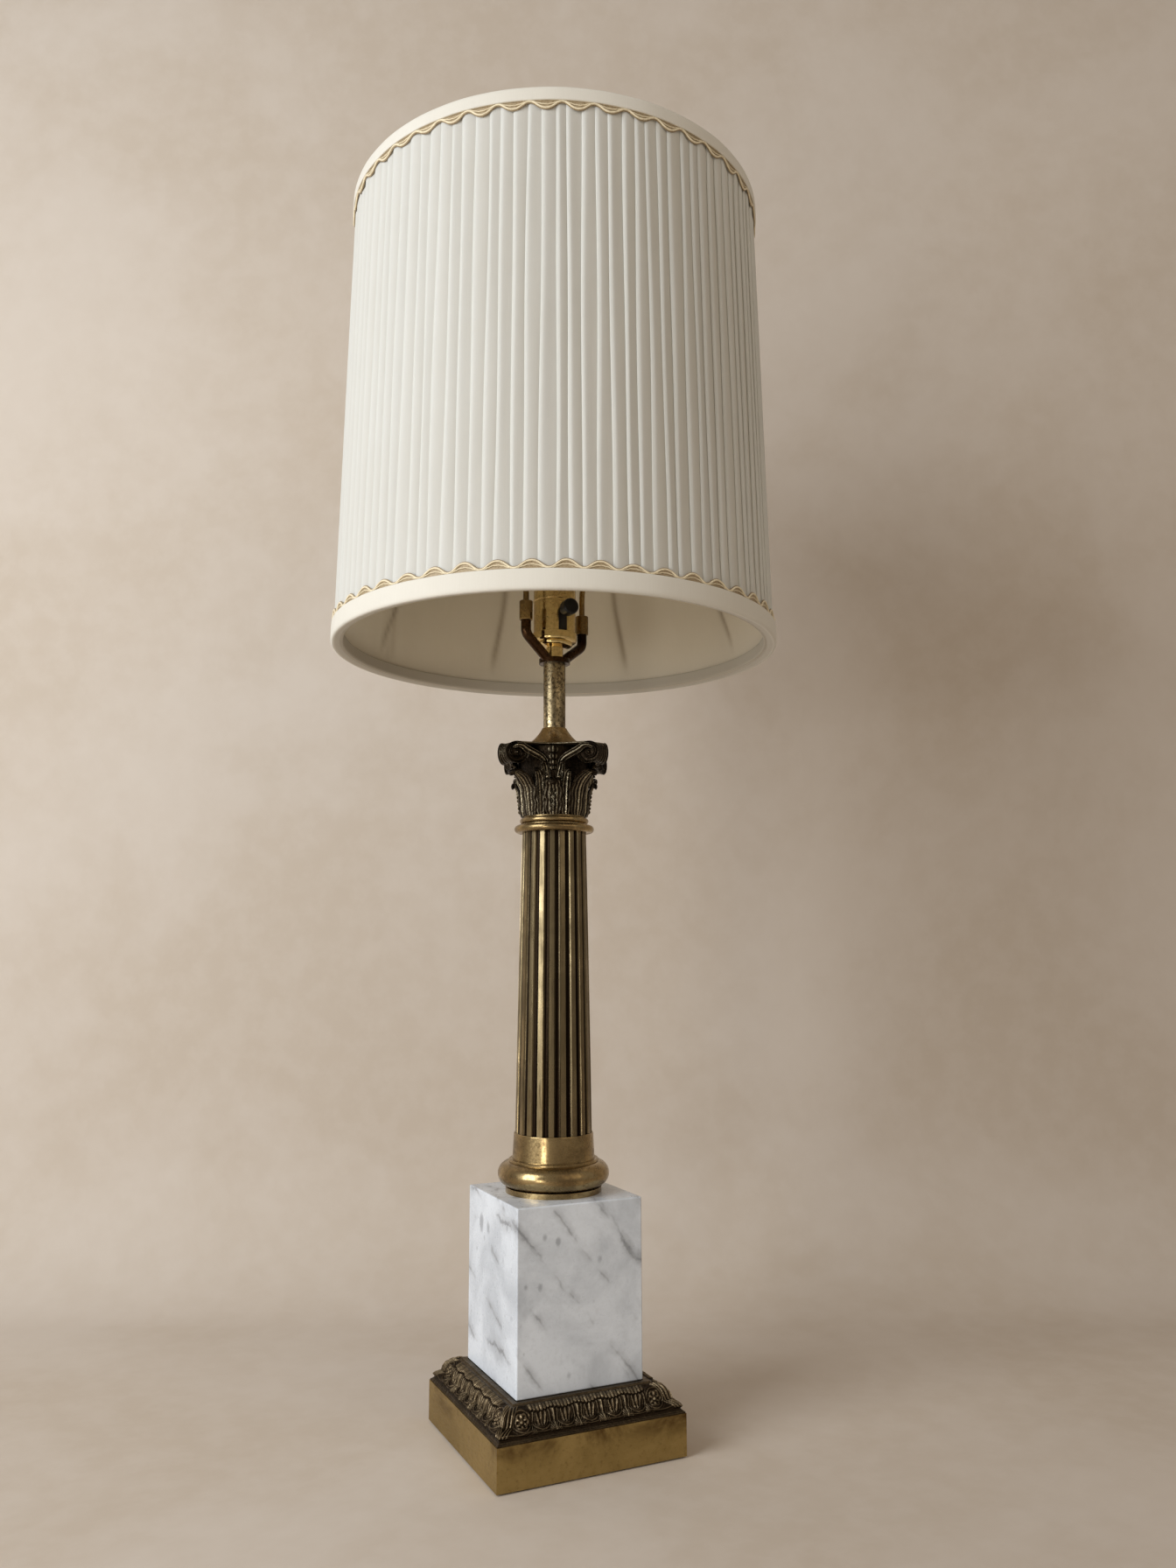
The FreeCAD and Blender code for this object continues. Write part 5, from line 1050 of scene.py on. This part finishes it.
def area_light(name, place, target_height, size, power, colour):
    """A soft light aimed at a height on the lamp's axis."""
    data = bpy.data.lights.new(name, "AREA")
    data.shape = "RECTANGLE"
    data.size, data.size_y = size
    data.energy = power
    data.color = colour
    ob = bpy.data.objects.new(name, data)
    ob.location = place
    ob.rotation_euler = (Vector((0, 0, target_height)) - place).to_track_quat("-Z", "Y").to_euler()
    scene.collection.objects.link(ob)


def make_world():
    """Dim warm room that shows its own pale colour to the camera and through glass."""
    world = bpy.data.worlds.new("room")
    scene.world = world
    world.use_nodes = True
    tree = world.node_tree
    path = tree.nodes.new("ShaderNodeLightPath")
    seen = tree.nodes.new("ShaderNodeMath")
    seen.operation = "MAXIMUM"
    tree.links.new(path.outputs["Is Camera Ray"], seen.inputs[0])
    tree.links.new(path.outputs["Is Transmission Ray"], seen.inputs[1])
    tint = tree.nodes.new("ShaderNodeMix")
    tint.data_type = "RGBA"
    tint.inputs[6].default_value = (0.31, 0.28, 0.25, 1)
    tint.inputs[7].default_value = (*rgb(196, 185, 172), 1)
    tree.links.new(seen.outputs[0], tint.inputs[0])
    tree.links.new(tint.outputs[2], tree.nodes["Background"].inputs["Color"])


def make_camera():
    """The photograph's viewpoint."""
    data = bpy.data.cameras.new("photo_camera")
    data.sensor_width = 36.0
    data.lens = LENS
    ob = bpy.data.objects.new("photo_camera", data)
    ob.location = CAMERA_PLACE
    trim = Euler((0, math.radians(LEFT_PAN), math.radians(ROLL)))
    ob.rotation_euler = (LOOK.to_track_quat("-Z", "Y") @ trim.to_quaternion()).to_euler()
    scene.collection.objects.link(ob)
    scene.camera = ob


make_stage()
area_light("window", from_lamp(-1.32, -1.05, 1.0), 0.55, (1.0, 1.5), 28.0, (0.95, 0.98, 1.0))
area_light("room_fill", from_lamp(1.2, -1.3, 1.4), 0.5, (1.6, 1.6), 4.8, (1.0, 0.82, 0.6))
area_light("low_card", from_lamp(-0.55, -1.15, 0.12), 0.64, (0.25, 0.5), 2.0, (1.0, 0.95, 0.87))
make_world()
make_camera()
scene.view_settings.view_transform = "Standard"
